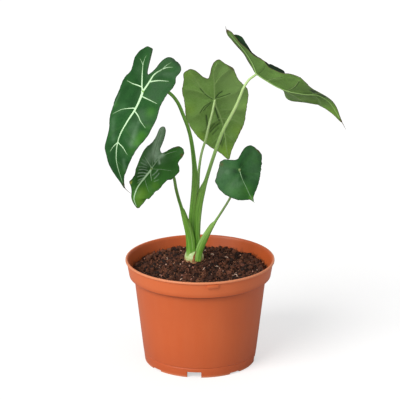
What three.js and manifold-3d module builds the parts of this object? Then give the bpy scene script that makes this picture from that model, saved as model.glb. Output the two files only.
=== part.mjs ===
// A young alocasia in a plastic nursery pot: pot, potting mix, corm, roots, five petioles and five blades.
// Millimetres, +Z up. The origin is where the pot's axis meets the surface that it stands on.
// The front of the plant faces -Y.
import * as THREE from "three";
import { mergeVertices } from "three/addons/utils/BufferGeometryUtils.js";
import Module from "manifold-3d";

// ---- driving dimensions ----

const gap = 0.3; // clearance between pieces that touch
const petioleSides = 10;
const bladeThickness = 1.0;
const marginThickness = 0.5;
const bladeSpokes = 48;
const bladeRings = 5;

const pot = {
  height: 109,
  rimRadius: 76,
  bandHeight: 17, // the flared band below the rim
  bandFootRadius: 71.6,
  wallTopRadius: 67.6,
  grooveHeight: 10, // the line round the wall above the foot
  grooveDepth: 0.5,
  footRadius: 57,
  wall: 1.9,
  lip: 2.4, // width of the rim's flat top
  skirt: 3, // thickness of the foot ring
  floorUnderside: 6.2,
  floorThickness: 2,
  padRadius: 24, // the flat centre that stands on the table
  notches: 8,
  notchWidth: 17,
  notchTurn: -7.5, // degrees from the front
  drainHoles: 8,
  drainRadius: 4,
  drainCircle: 40,
  segments: 56,
};

const tab = { width: 11.5, height: 3.6, proud: 0.5, z: 104.2, turn: 9.6 }; // the blank label pad on the band

const mix = {
  edgeZ: 95.5,
  mound: 10, // how much higher it lies round the corm
  moundReach: 34,
  bumps: 0.65,
  segments: 36,
};

const corm = {
  x: -6,
  y: 8,
  // height and radius, from the base plate to the crown
  profile: [[84, 4.5], [87.5, 8], [93, 9.7], [100, 10.1], [106, 9.9], [111, 9], [114.5, 6.5]],
  baseZ: 83,
  crownZ: 116,
};

const roots = {
  count: 6,
  startRadius: 9, // from the corm's axis
  startZ: 90.5,
  spread: 32,
  drop: 50,
  dropStep: 3, // each root goes this much deeper than the one before
  swing: 0.35, // radians
  thickRadius: 1.7,
  thinRadius: 0.9,
};

// Each petiole runs from the corm to the vein node of its blade. A station of halfWidths is the share of the
// length, then the half width across the sheath and the half depth of the section.
const petioles = {
  petiole_left_tall: {
    blade: "leaf_blade_left_tall",
    path: [
      [-7, 8, 110], [-8, 8.5, 134], [-7.8, 9, 148], [-6, 9, 164], [-4.5, 8.5, 181], [-4.5, 7, 198],
      [-5.8, 5, 215], [-8.2, 1, 234], [-11.2, -2, 247], [-15.9, -6, 260], [-22.8, -10, 275],
      [-30, -14, 285], [-39.5, -21, 292], [-49, -30, 294.5], [-56, -38.5, 293.5],
    ],
    halfWidths: [
      [0, 3.1, 2.6], [0.12, 3, 2.6], [0.3, 3, 2.6], [0.38, 2.7, 2.4], [0.48, 2, 1.9], [0.7, 1.85, 1.8],
      [1, 1.5, 1.5],
    ],
  },
  petiole_right_tall: {
    blade: "leaf_blade_right_tall",
    path: [
      [-3, 8, 110], [-3.3, 8, 134], [-2.8, 8, 148], [-1, 7.5, 164], [2.6, 7, 180], [6.5, 6, 193.5],
      [10.3, 5, 206.5], [14, 4, 218.5], [18.1, 3, 231], [24.2, 2, 246], [30.6, 1, 258], [36.2, 0, 269.5],
      [40, 0, 279], [43.7, 1, 288], [48.8, 2.5, 295.5], [53, 3.6, 298.6], [56.4, 5.4, 300.6],
    ],
    halfWidths: [
      [0, 3.2, 2.6], [0.12, 3.2, 2.7], [0.27, 3.5, 2.6], [0.35, 2.5, 2.3], [0.6, 1.95, 1.9], [1, 1.3, 1.3],
    ],
  },
  petiole_back: {
    blade: "leaf_blade_back",
    path: [
      [-4, 13, 110], [-3, 16, 139], [-2, 20, 160], [-1, 25, 179], [0, 31, 195.5], [2.5, 37, 210],
      [6.3, 43, 222], [9.4, 50, 234.5], [12.8, 57, 247], [15.6, 64.5, 260],
    ],
    halfWidths: [[0, 2.8, 2.2], [0.2, 2.2, 1.8], [0.45, 1.4, 1.4], [1, 1.1, 1.1]],
  },
  petiole_left_low: {
    blade: "leaf_blade_left_low",
    path: [
      [-9.5, 4, 108], [-11.3, 3.4, 132], [-14.8, 0, 148.5], [-18, -4, 163.5], [-21, -8, 175.5],
      [-23.5, -13, 188], [-25.2, -18, 199.5], [-29.5, -23, 209], [-36, -29, 215], [-43, -34.5, 217],
      [-48.5, -40.5, 215.5],
    ],
    halfWidths: [
      [0, 3.4, 2.4], [0.26, 3.2, 2.3], [0.33, 2.4, 2], [0.39, 1.75, 1.7], [0.7, 1.5, 1.5], [1, 1.2, 1.2],
    ],
  },
  petiole_right_low: {
    blade: "leaf_blade_right_low",
    path: [
      [-2.2, -1, 105.5], [-1, -1.2, 115], [2.6, -2.4, 126.5], [8, -5, 138.5], [15, -9, 151.5],
      [22, -14, 164], [29, -20, 177.5], [34.5, -27, 191], [38, -34, 204], [39.2, -41, 215.5],
    ],
    halfWidths: [
      [0, 3.2, 1.8], [0.1, 3.6, 2.3], [0.24, 3.4, 2.3], [0.36, 2, 1.8], [0.5, 1.5, 1.5], [1, 1.3, 1.3],
    ],
  },
};

// Each blade hangs on a midrib in space. Its flat outline is drawn round the vein node in (along, across):
// along the midrib towards the tip, and across it towards the left of someone who looks along it from above.
// face is the side that the upper surface turns to. The folds give, along the midrib, the angle in degrees by
// which the two halves (across below 0, then above 0) rise from it, and cup their curvature.
const blades = {
  leaf_blade_left_tall: {
    midrib: [
      [-52, -22, 331], [-54, -31, 314], [-56, -38, 294], [-63, -48, 279], [-71, -56, 268],
      [-78, -62, 256], [-81, -66, 244], [-81, -68, 230], [-75, -66, 207],
    ],
    nodeAt: 2,
    face: [-0.45, -0.8, 0.35],
    folds: [[-50, -14, -5], [0, -14, -6], [50, -22, -4], [100, -10, -4]],
    cup: -0.15,
    crease: 4,
    ripple: [0.8, 7],
    outline: [
      [-17, 4], [-31, 5], [-43, 5], [-45, 0], [-44, -5], [-40, -11], [-34, -15], [-27, -16.5],
      [-21, -18], [-14, -25], [-8, -30], [1, -33], [13, -34], [27, -31], [38, -25], [47, -19], [56, -17],
      [64, -17.5], [72, -14], [80, -9], [90, -4.5], [97, -1.5], [105, 0.4], [97, 2], [92, 3.5], [85, 8],
      [74, 15], [62, 21], [49, 24.5], [36, 26], [22, 24.5], [9, 23], [0, 25], [-8, 31], [-15, 34],
      [-21, 37.5], [-27, 37], [-32, 31], [-33.5, 24], [-30, 18], [-23, 11.5], [-18.5, 7],
    ],
  },
  leaf_blade_left_low: {
    midrib: [
      [-34, -28, 254], [-41, -34, 235], [-48, -40, 216], [-53, -44, 210], [-60, -49, 202],
      [-63, -52, 197], [-65, -54, 189], [-62, -53, 179],
    ],
    nodeAt: 2,
    face: [-0.2, -0.85, 0.45],
    folds: [[-50, -30, -10], [0, -32, -14], [50, -20, -5]],
    cup: -0.2,
    crease: 3,
    ripple: [1.5, 9],
    outline: [
      [-18, 5], [-21, 3.2], [-26, 2.5], [-33, 2.4], [-40, 1.2], [-43, -1.5], [-43, -5], [-40, -8],
      [-34, -8.5], [-28, -9.5], [-23, -12.5], [-18, -18], [-9, -21], [0, -21], [7, -18], [14, -13],
      [19, -12], [23, -10.5], [28, -5.5], [36, -2], [46, 0.4], [43, 6], [38, 11], [30, 15], [21, 17],
      [13, 17.5], [6, 18], [1, 20], [-2, 24], [-6, 26.5], [-10, 25], [-15, 23], [-21, 25], [-26, 25],
      [-29, 22], [-29, 17], [-25, 11.5], [-20, 7.5],
    ],
  },
  leaf_blade_back: {
    midrib: [
      [6, 42, 300], [10, 54, 281], [15, 64, 260], [18, 71, 244], [22, 77, 228], [26, 81, 209], [30, 82, 190],
    ],
    nodeAt: 2,
    face: [-0.1, 0.82, 0.55],
    folds: [[-50, 14, 14], [0, 12, 12], [70, 6, 6]],
    cup: -0.1,
    crease: 4,
    ripple: [0.8, 8],
    outline: [
      [-27, 1], [-30, -1.5], [-35, -3.5], [-42, -5.5], [-48, -10], [-49, -15], [-44, -19.5], [-38, -23.5],
      [-32, -28], [-23, -28], [-14, -29.5], [-7, -32.5], [0, -36], [7, -35.5], [18, -32], [30, -28],
      [40, -23.5], [50, -16.5], [58, -10.5], [66, -5], [74.5, 0], [67, 6], [60, 13], [53, 19.5], [45, 25],
      [37, 29.5], [29, 32], [20, 34], [9, 32], [-2, 31.5], [-14, 31], [-22, 28.5], [-29, 26.5], [-36, 25.5],
      [-41, 22], [-44, 17], [-42, 13.5], [-37, 10], [-31, 5.5],
    ],
  },
  leaf_blade_right_tall: {
    midrib: [
      [28, 21, 325], [41, 15, 317], [50, 10, 309], [57, 6, 301], [68, 2, 295], [79, -2, 290], [90, -5, 286],
      [104, -9, 284], [117, -13, 284], [129, -16, 277], [140, -19, 259],
    ],
    nodeAt: 3,
    face: [0.35, 0.72, 0.6],
    folds: [
      [-50, 4, 84], [-20, 4, 78], [0, 4, 72], [18, 0, 68], [27, -2, 62], [33, -4, 24], [42, -6, 15],
      [56, -12, 14], [64, -26, 12], [80, -27, 6], [102, -15, 0],
    ],
    cup: 0,
    crease: 3,
    ripple: [0.6, 6],
    outline: [
      [-10, 0.5], [-17, -3.5], [-26, -7.5], [-35, -11], [-45, -16], [-49, -22], [-43, -24], [-36, -21],
      [-30, -18], [-22, -16], [-14, -14], [-7, -18], [1, -22], [10, -20], [19, -20], [26, -24], [33, -28],
      [42, -32], [52, -31], [60, -25], [68, -17.5], [77, -11.5], [87, -6], [95, -2.5], [105, 0], [94, 6],
      [86, 12], [74, 19], [62, 22], [51, 23], [42, 25], [33, 27], [24, 28], [12, 29], [0, 25], [-10, 19],
      [-20, 17], [-30, 20.5], [-38, 24], [-45, 22], [-46, 16], [-36, 11], [-26, 8], [-17, 4],
    ],
  },
  leaf_blade_right_low: {
    midrib: [
      [36, -30, 235], [37, -35, 225], [39, -40, 215], [42, -44, 206], [47, -47, 196], [52, -48, 186],
    ],
    nodeAt: 2,
    face: [0.1, -0.85, 0.5],
    folds: [[-30, -14, -18], [0, -14, -20], [35, -8, -8]],
    cup: -0.2,
    crease: 3,
    ripple: [0.6, 7],
    outline: [
      [-10, -1], [-10.5, -7], [-12, -12], [-10.5, -17], [-6, -19.5], [-1, -22.5], [4, -26], [9, -25.5],
      [15, -22.5], [21, -18.5], [26, -12.5], [29.5, -5.5], [31, -1.5], [36, 0], [30, 2.5], [26, 8],
      [21, 13.5], [14, 19], [5, 23], [-3, 26], [-10, 27.5], [-16, 27], [-21, 22.5], [-24.5, 16.5],
      [-22, 10.5], [-17, 6.5], [-12.5, 2],
    ],
  },
};

const driedSheath = { turn: -4, bottomZ: 106.5, topZ: 117, halfAngle: 9, thickness: 0.7, lean: 1.2 };

// ---- helpers ----

const wasm = await Module();
wasm.setup();

const radians = THREE.MathUtils.degToRad;

// A smooth curve through [position, value, ...] stations, straight on past both ends.
function through(stations) {
  const last = stations.length - 1;
  const slope = (i, k) => {
    const a = stations[Math.max(i - 1, 0)];
    const b = stations[Math.min(i + 1, last)];
    return (b[k] - a[k]) / (b[0] - a[0]);
  };
  return (u) => {
    const values = [];
    for (let k = 1; k < stations[0].length; k++) {
      if (u <= stations[0][0]) {
        values.push(stations[0][k] + slope(0, k) * (u - stations[0][0]));
        continue;
      }
      if (u >= stations[last][0]) {
        values.push(stations[last][k] + slope(last, k) * (u - stations[last][0]));
        continue;
      }
      let i = 0;
      while (stations[i + 1][0] < u) i++;
      const span = stations[i + 1][0] - stations[i][0];
      const t = (u - stations[i][0]) / span;
      const from = (2 * t ** 3 - 3 * t ** 2 + 1) * stations[i][k];
      const to = (3 * t ** 2 - 2 * t ** 3) * stations[i + 1][k];
      const rise = (t ** 3 - 2 * t ** 2 + t) * span * slope(i, k);
      const fall = (t ** 3 - t ** 2) * span * slope(i + 1, k);
      values.push(from + to + rise + fall);
    }
    return values;
  };
}

// A closed skin over rings of points, one after the other; a ring of one point closes an end.
function skin(rings) {
  const points = rings.flat();
  const triangles = [];
  let start = 0;
  for (let r = 0; r + 1 < rings.length; r++) {
    const here = rings[r].length;
    const next = rings[r + 1].length;
    const count = Math.max(here, next);
    for (let i = 0; i < count; i++) {
      const j = (i + 1) % count;
      const a = start + (here > 1 ? i : 0);
      const b = start + (here > 1 ? j : 0);
      const c = start + here + (next > 1 ? i : 0);
      const d = start + here + (next > 1 ? j : 0);
      if (here > 1) triangles.push([a, b, d]);
      if (next > 1) triangles.push([a, d, c]);
      if (next === 1) triangles[triangles.length - 1] = [a, b, c];
    }
    start += here;
  }
  const volume = triangles.reduce(
    (sum, [a, b, c]) => sum + points[a].dot(new THREE.Vector3().crossVectors(points[b], points[c])),
    0,
  );
  const facing = volume < 0 ? triangles.map(([a, b, c]) => [a, c, b]) : triangles;
  return new THREE.BufferGeometry().setFromPoints(points).setIndex(facing.flat());
}

function toSolid(geometry) {
  geometry.deleteAttribute("normal");
  geometry.deleteAttribute("uv");
  const merged = mergeVertices(geometry, 1e-4);
  return new wasm.Manifold(
    new wasm.Mesh({
      numProp: 3,
      vertProperties: merged.attributes.position.array,
      triVerts: new Uint32Array(merged.index.array),
    }),
  );
}

function toGeometry(solid) {
  const { vertProperties, triVerts } = solid.getMesh();
  const geometry = new THREE.BufferGeometry();
  geometry.setAttribute("position", new THREE.BufferAttribute(vertProperties, 3));
  geometry.setIndex(new THREE.BufferAttribute(triVerts, 1));
  return geometry;
}

// What is left of a solid outside its neighbours: its largest piece, without the slivers.
function cutBy(solid, ...neighbours) {
  const left = neighbours.reduce((rest, other) => rest.subtract(other), solid);
  return left.decompose().sort((a, b) => b.volume() - a.volume())[0];
}

// ---- pot ----

const bandFootZ = pot.height - pot.bandHeight;
const potFloorTop = pot.floorUnderside + pot.floorThickness;
const wallRadius = (z) => pot.footRadius + ((pot.wallTopRadius - pot.footRadius) * z) / bandFootZ;

function makePot() {
  const inside = (radius) => radius - pot.wall;
  const padEdge = pot.padRadius + 4;
  const outline = [
    [0, 0],
    [pot.padRadius, 0],
    [padEdge, pot.floorUnderside],
    [wallRadius(0) - pot.skirt - 0.6, pot.floorUnderside],
    [wallRadius(0) - pot.skirt, 0],
    [wallRadius(0) - 0.6, 0],
    [wallRadius(0.6), 0.6],
    [wallRadius(pot.grooveHeight - 0.8), pot.grooveHeight - 0.8],
    [wallRadius(pot.grooveHeight) - pot.grooveDepth, pot.grooveHeight],
    [wallRadius(pot.grooveHeight) + 0.3, pot.grooveHeight + 0.8],
    [pot.wallTopRadius, bandFootZ - 1.4],
    [pot.wallTopRadius + 1, bandFootZ - 0.4],
    [pot.bandFootRadius - 0.9, bandFootZ],
    [pot.bandFootRadius, bandFootZ + 1.3],
    [pot.rimRadius - 0.9, pot.height - 2.6],
    [pot.rimRadius, pot.height - 1.8],
    [pot.rimRadius - 0.5, pot.height],
    [pot.rimRadius - pot.lip, pot.height],
    [inside(pot.rimRadius - 1.6), pot.height - 1.6],
    [inside(pot.bandFootRadius), bandFootZ + 1.6],
    [inside(pot.wallTopRadius), bandFootZ - 1.5],
    [inside(wallRadius(potFloorTop + 3)), potFloorTop + 3],
    [inside(wallRadius(potFloorTop)) - 3, potFloorTop],
    [padEdge - 1.2, potFloorTop],
    [pot.padRadius - 1.2, pot.floorThickness],
    [0, pot.floorThickness],
  ];
  const lathe = new THREE.LatheGeometry(
    outline.map(([radius, z]) => new THREE.Vector2(radius, z)),
    pot.segments,
  );
  lathe.rotateX(Math.PI / 2);
  let solid = toSolid(lathe);

  const cutterDepth = 12;
  for (let i = 0; i < pot.notches; i++) {
    const notch = new THREE.BoxGeometry(pot.notchWidth, cutterDepth, 2 * pot.floorUnderside);
    notch.translate(0, -pot.footRadius, 0);
    notch.rotateZ(radians(pot.notchTurn) + (i * 2 * Math.PI) / pot.notches);
    solid = solid.subtract(toSolid(notch));
  }
  for (let i = 0; i < pot.drainHoles; i++) {
    const hole = new THREE.CylinderGeometry(pot.drainRadius, pot.drainRadius, 4 * pot.floorThickness, 16);
    hole.rotateX(Math.PI / 2);
    hole.translate(0, -pot.drainCircle, potFloorTop - pot.floorThickness / 2);
    hole.rotateZ(radians(pot.notchTurn) + ((i + 0.5) * 2 * Math.PI) / pot.drainHoles);
    solid = solid.subtract(toSolid(hole));
  }
  const bandLean = Math.atan2(pot.rimRadius - pot.bandFootRadius, pot.bandHeight);
  const bandShare = (tab.z - bandFootZ) / pot.bandHeight;
  const bandRadius = THREE.MathUtils.lerp(pot.bandFootRadius, pot.rimRadius, bandShare);
  const plate = new THREE.BoxGeometry(tab.width, 2, tab.height);
  plate.translate(0, 1 - tab.proud, 0);
  plate.rotateX(-bandLean);
  plate.translate(0, -bandRadius, tab.z);
  plate.rotateZ(radians(tab.turn));
  return solid.add(toSolid(plate));
}

// ---- corm, roots and potting mix ----

function makeCorm(grow = 0) {
  const ring = ([z, radius]) =>
    Array.from({ length: 20 }, (_, i) => {
      const angle = (i * 2 * Math.PI) / 20;
      const reach = radius + grow;
      return new THREE.Vector3(corm.x + reach * Math.cos(angle), corm.y + reach * Math.sin(angle), z);
    });
  const base = new THREE.Vector3(corm.x, corm.y, corm.baseZ - grow);
  const crown = new THREE.Vector3(corm.x, corm.y, corm.crownZ + grow);
  return toSolid(skin([[base], ...corm.profile.map(ring), [crown]]));
}

// A tapered stalk along a curve. halfWidths holds [share of length, half width, half depth] stations.
function makeStalk(path, halfWidths, { sides, steps, grow = 0 }) {
  const curve = new THREE.CatmullRomCurve3(path.map((p) => new THREE.Vector3(...p)));
  const size = through(halfWidths);
  const depthAxis = new THREE.Vector3(0, 1, 0);
  const rings = [];
  for (let k = 0; k <= steps; k++) {
    const share = k / steps;
    const centre = curve.getPointAt(share);
    const along = curve.getTangentAt(share);
    const across = new THREE.Vector3().crossVectors(along, depthAxis).normalize();
    const deep = new THREE.Vector3().crossVectors(across, along);
    const [halfWidth, halfDepth] = size(share);
    rings.push(
      Array.from({ length: sides }, (_, i) => {
        const angle = (i * 2 * Math.PI) / sides;
        return centre
          .clone()
          .addScaledVector(across, (halfWidth + grow) * Math.cos(angle))
          .addScaledVector(deep, (halfDepth + grow) * Math.sin(angle));
      }),
    );
  }
  const end = (share, way) => [
    curve.getPointAt(share).addScaledVector(curve.getTangentAt(share), way * (0.4 + grow)),
  ];
  return toSolid(skin([end(0, -1), ...rings, end(1, 1)]));
}

function makeRoot(index, grow = 0) {
  const angle = radians(20) + (index * 2 * Math.PI) / roots.count;
  const path = [0, 0.2, 0.45, 0.72, 1].map((share) => {
    const out = roots.startRadius + roots.spread * share;
    const swing = angle + roots.swing * Math.sin(4 * share + index);
    return [
      corm.x + out * Math.cos(swing),
      corm.y + out * Math.sin(swing),
      roots.startZ - (roots.drop + roots.dropStep * index) * share ** 1.5,
    ];
  });
  const halfWidths = [
    [0, roots.thickRadius, roots.thickRadius],
    [1, roots.thinRadius, roots.thinRadius],
  ];
  return makeStalk(path, halfWidths, { sides: 8, steps: 9, grow });
}

function makeMix(neighbours) {
  const inner = (z) => wallRadius(z) - pot.wall - gap;
  const floorTop = potFloorTop + gap;
  const topZ = (x, y) => {
    const fromCorm = Math.hypot(x - corm.x, y - corm.y);
    const bumps = Math.sin(x / 7 + 1) * Math.cos(y / 6) + 0.7 * Math.sin((x + y) / 4.3);
    return mix.edgeZ + mix.mound * Math.exp(-((fromCorm / mix.moundReach) ** 2)) + mix.bumps * bumps;
  };
  const ring = (radius, z) =>
    Array.from({ length: mix.segments }, (_, i) => {
      const angle = (i * 2 * Math.PI) / mix.segments;
      const x = radius * Math.cos(angle);
      const y = radius * Math.sin(angle);
      return new THREE.Vector3(x, y, z ?? topZ(x, y));
    });
  const edge = pot.bandFootRadius - pot.wall - gap - 0.4;
  const topShares = [1, 0.86, 0.72, 0.58, 0.44, 0.3, 0.16];
  const rings = [
    [new THREE.Vector3(0, 0, pot.floorThickness + gap)],
    ring(pot.padRadius - 2, pot.floorThickness + gap),
    ring(pot.padRadius + 2.2, floorTop),
    ring(inner(floorTop) - 3.2, floorTop),
    ring(inner(floorTop + 3.2), floorTop + 3.2),
    ring(inner(bandFootZ - 1.5), bandFootZ - 1.5),
    ring(edge - 0.2, bandFootZ + 1.9),
    ...topShares.map((share) => ring(edge * share)),
    [new THREE.Vector3(0, 0, topZ(0, 0))],
  ];
  return cutBy(toSolid(skin(rings)), ...neighbours);
}

// ---- blades ----

// The closed smooth outline as evenly spread [along, across] points.
function outlinePoints(outline, count) {
  const curve = new THREE.CatmullRomCurve3(
    outline.map(([along, across]) => new THREE.Vector3(along, across, 0)),
    true,
    "centripetal",
  );
  return curve.getSpacedPoints(count).slice(0, count);
}

// The blade's surface in space: a point for (along, across), lifted off it along its own normal.
function bladeSurface(blade) {
  const points = blade.midrib.map((p) => new THREE.Vector3(...p));
  const stations = [];
  points.reduce((length, point, i) => {
    const here = i ? length + point.distanceTo(points[i - 1]) : 0;
    stations.push([here, point.x, point.y, point.z]);
    return here;
  }, 0);
  const nodeLength = stations[blade.nodeAt][0];
  stations.forEach((station) => (station[0] -= nodeLength));
  const midrib = through(stations);
  const fold = through(blade.folds);
  const face = new THREE.Vector3(...blade.face);
  const [rippleHeight, rippleCount] = blade.ripple;
  return (along, across, lift) => {
    const centre = new THREE.Vector3(...midrib(along));
    const ahead = new THREE.Vector3(...midrib(along + 0.5));
    const behind = new THREE.Vector3(...midrib(along - 0.5));
    const tangent = ahead.sub(behind).normalize();
    const normal = face.clone().addScaledVector(tangent, -face.dot(tangent)).normalize();
    const side = new THREE.Vector3().crossVectors(normal, tangent);
    const angle = radians(fold(along)[across < 0 ? 0 : 1]);
    const risen = Math.sqrt(across ** 2 + blade.crease ** 2) - blade.crease;
    const reach = Math.hypot(along, across) / 40;
    const wave = rippleHeight * Math.min(reach, 1.2) ** 3 * Math.sin(rippleCount * Math.atan2(across, along));
    const height = risen * Math.sin(angle) + (blade.cup * across ** 2) / 100 + wave;
    const tilt = Math.sign(across) * angle;
    return centre
      .addScaledVector(side, across * Math.cos(angle) - lift * Math.sin(tilt))
      .addScaledVector(normal, height + lift * Math.cos(tilt));
  };
}

function makeBlade(blade, grow = 0) {
  const surface = bladeSurface(blade);
  const edge = outlinePoints(blade.outline, bladeSpokes);
  const layer = (share, way) => {
    const thickness = THREE.MathUtils.lerp(bladeThickness, marginThickness, share ** 3) / 2 + grow;
    return edge.map((p) => surface(p.x * share, p.y * share, way * thickness));
  };
  const shares = Array.from({ length: bladeRings }, (_, k) => ((k + 1) / bladeRings) ** 0.8);
  const node = (way) => [surface(0, 0, way * (bladeThickness / 2 + grow))];
  return toSolid(
    skin([
      node(1),
      ...shares.map((share) => layer(share, 1)),
      ...shares.reverse().map((share) => layer(share, -1)),
      node(-1),
    ]),
  );
}

// ---- the dried sheath of an old leaf, on the corm's front ----

function makeDriedSheath() {
  const cormRadius = through(corm.profile);
  const ring = (share) => {
    const z = THREE.MathUtils.lerp(driedSheath.bottomZ, driedSheath.topZ, share);
    const half = radians(driedSheath.halfAngle) * (1 - 0.6 * share ** 2);
    const inner = cormRadius(z < 111 ? z : 111)[0] + gap + driedSheath.lean * share ** 2;
    const steps = [-1, -0.5, 0, 0.5, 1];
    const arc = (radius, order) =>
      order.map((step) => {
        const angle = radians(driedSheath.turn - 90) + step * half;
        return new THREE.Vector3(corm.x + radius * Math.cos(angle), corm.y + radius * Math.sin(angle), z);
      });
    return [...arc(inner, steps), ...arc(inner + driedSheath.thickness, steps.toReversed())];
  };
  const rings = [0, 0.25, 0.5, 0.75, 1].map(ring);
  const middle = (points) => [
    points.reduce((sum, point) => sum.add(point), new THREE.Vector3()).divideScalar(points.length),
  ];
  return toSolid(skin([middle(rings[0]), ...rings, middle(rings[4])]));
}

// ---- assembly ----

const finishes = {
  terracottaPlastic: { color: 0xd4724a, roughness: 0.45, metalness: 0 },
  pottingMix: { color: 0x3c2619, roughness: 1, metalness: 0 },
  cormSkin: { color: 0xbcd795, roughness: 0.6, metalness: 0 },
  rootSkin: { color: 0xd9cdb2, roughness: 0.8, metalness: 0 },
  petiole: { color: 0x7fae52, roughness: 0.5, metalness: 0 },
  darkLeaf: { color: 0x2c5f38, roughness: 0.55, metalness: 0 },
  driedSheath: { color: 0x7a4a2b, roughness: 0.9, metalness: 0 },
};

const alocasia = new THREE.Group();

function place(name, solid, finish) {
  const material = new THREE.MeshStandardMaterial(finishes[finish]);
  const mesh = new THREE.Mesh(toGeometry(solid), material);
  mesh.name = name;
  alocasia.add(mesh);
}

place("pot", makePot(), "terracottaPlastic");

const cormClearance = makeCorm(gap);
place("corm", makeCorm(), "cormSkin");

const buried = [cormClearance];
for (let i = 0; i < roots.count; i++) {
  place(`root_${i + 1}`, cutBy(makeRoot(i), cormClearance), "rootSkin");
  buried.push(makeRoot(i, gap));
}

for (const [name, blade] of Object.entries(blades)) place(name, makeBlade(blade), "darkLeaf");

// The inner petioles stand whole and the outer sheaths clasp them, so each is cut by those before it.
const clasped = [cormClearance];
for (const [name, { blade, path, halfWidths }] of Object.entries(petioles)) {
  const steps = 2 * path.length;
  const whole = makeStalk(path, halfWidths, { sides: petioleSides, steps });
  place(name, cutBy(whole, ...clasped, makeBlade(blades[blade], gap)), "petiole");
  clasped.push(makeStalk(path, halfWidths, { sides: petioleSides, steps, grow: gap }));
}
buried.push(clasped.at(-1)); // the low right petiole leaves the corm at the mix's surface

place("dried_sheath", cutBy(makeDriedSheath(), ...clasped.slice(1)), "driedSheath");
place("potting_mix", makeMix(buried), "pottingMix");

export default alocasia;
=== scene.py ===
# A young alocasia in a terracotta-coloured nursery pot.
import math
import random

import bmesh
import bpy
import numpy as np
from mathutils import Matrix, Vector, noise


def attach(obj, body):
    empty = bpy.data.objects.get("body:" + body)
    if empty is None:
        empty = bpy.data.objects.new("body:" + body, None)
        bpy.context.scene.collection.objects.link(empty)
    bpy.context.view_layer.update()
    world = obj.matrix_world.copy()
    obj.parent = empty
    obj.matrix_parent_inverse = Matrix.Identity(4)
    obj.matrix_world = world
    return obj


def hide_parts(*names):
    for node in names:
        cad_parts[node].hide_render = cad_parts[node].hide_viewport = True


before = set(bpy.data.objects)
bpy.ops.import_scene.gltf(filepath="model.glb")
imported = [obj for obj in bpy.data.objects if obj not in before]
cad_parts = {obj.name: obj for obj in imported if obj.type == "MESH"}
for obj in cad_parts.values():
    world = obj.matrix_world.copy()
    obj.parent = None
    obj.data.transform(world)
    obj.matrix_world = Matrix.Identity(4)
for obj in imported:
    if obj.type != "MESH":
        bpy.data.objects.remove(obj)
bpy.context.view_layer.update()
mm = 0.001  # the shapes below are in millimetres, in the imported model's own frame


# ---- small tools ----


def srgb(red, green, blue):
    # a colour as a picture shows it, 0 to 255, to the linear values that shaders want
    return tuple(((c / 255 + 0.055) / 1.055) ** 2.4 if c > 10 else c / 3294 for c in (red, green, blue)) + (1,)


def through(stations):
    # a smooth curve through [position, value, ...] stations, straight on past both ends
    rows = np.array(stations, float)
    at, values = rows[:, 0], rows[:, 1:]
    slopes = np.empty_like(values)
    slopes[1:-1] = (values[2:] - values[:-2]) / (at[2:] - at[:-2])[:, None]
    slopes[0] = (values[1] - values[0]) / (at[1] - at[0])
    slopes[-1] = (values[-1] - values[-2]) / (at[-1] - at[-2])

    def look(position):
        u = np.atleast_1d(np.asarray(position, float))
        i = np.clip(np.searchsorted(at, u) - 1, 0, len(at) - 2)
        span = (at[i + 1] - at[i])[:, None]
        t = np.clip((u - at[i])[:, None] / span, 0, 1)
        found = (2 * t**3 - 3 * t**2 + 1) * values[i] + (3 * t**2 - 2 * t**3) * values[i + 1]
        found += (t**3 - 2 * t**2 + t) * span * slopes[i] + (t**3 - t**2) * span * slopes[i + 1]
        found += np.minimum(u - at[0], 0)[:, None] * slopes[0]
        return found + np.maximum(u - at[-1], 0)[:, None] * slopes[-1]

    return look


def rounded(points, closed=False, perSpan=24):
    # a centripetal curve through the points, as a dense line
    p = np.array(points, float)
    if closed:
        p = np.vstack([p[-1:], p, p[:2]])
    else:
        p = np.vstack([2 * p[0] - p[1], p, 2 * p[-1] - p[-2]])
    t = (np.arange(perSpan) / perSpan)[:, None]
    line = []
    for a, b, c, d in zip(p, p[1:], p[2:], p[3:]):
        before, here, after = (np.sqrt(np.linalg.norm(w)) for w in (b - a, c - b, d - c))
        leave = ((b - a) / before - (c - a) / (before + here) + (c - b) / here) * here
        reach = ((c - b) / here - (d - b) / (here + after) + (d - c) / after) * here
        bent = t**2 * (3 * c - 3 * b - 2 * leave - reach) + t**3 * (2 * b - 2 * c + leave + reach)
        line.append(b + t * leave + bent)
    return np.vstack(line + [p[1:2] if closed else p[-2:-1]])


def lengthAlong(line):
    return np.concatenate([[0], np.cumsum(np.linalg.norm(np.diff(line, axis=0), axis=1))])


def spread(line, shares):
    # points of a line at shares of its length
    length = lengthAlong(line)
    return np.stack([np.interp(np.asarray(shares) * length[-1], length, values) for values in line.T], 1)


def distanceTo(line, points):
    # how far each flat point is from a line
    a, way = line[:-1], np.diff(line, axis=0)
    square = np.maximum((way**2).sum(1), 1e-9)
    nearest = np.full(len(points), np.inf)
    for k in range(len(a)):
        off = points - a[k]
        t = np.clip(off @ way[k] / square[k], 0, 1)
        nearest = np.minimum(nearest, np.hypot(off[:, 0] - t * way[k, 0], off[:, 1] - t * way[k, 1]))
    return nearest


def shell(rings, bands=0, **marks):
    # a closed skin over rings of points; a ring of one point closes an end
    faces, slots, start = [], [], 0
    for k, (here, there) in enumerate(zip(rings, rings[1:])):
        n, m = len(here), len(there)
        after, count = start + n, max(n, m)
        for i in range(count):
            j = (i + 1) % count
            if n == 1:
                faces.append((start, after + j, after + i))
            elif m == 1:
                faces.append((start + i, start + j, after))
            else:
                faces.append((start + i, start + j, after + j, after + i))
        slots += [bands if np.isscalar(bands) else bands[k]] * count
        start = after
    return {"verts": np.vstack(rings), "faces": faces, "slots": slots, "marks": marks}


def capped(rings):
    # rings with a point at each end, to close a shell
    return [rings[0].mean(0, keepdims=True), *rings, rings[-1].mean(0, keepdims=True)]


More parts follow.
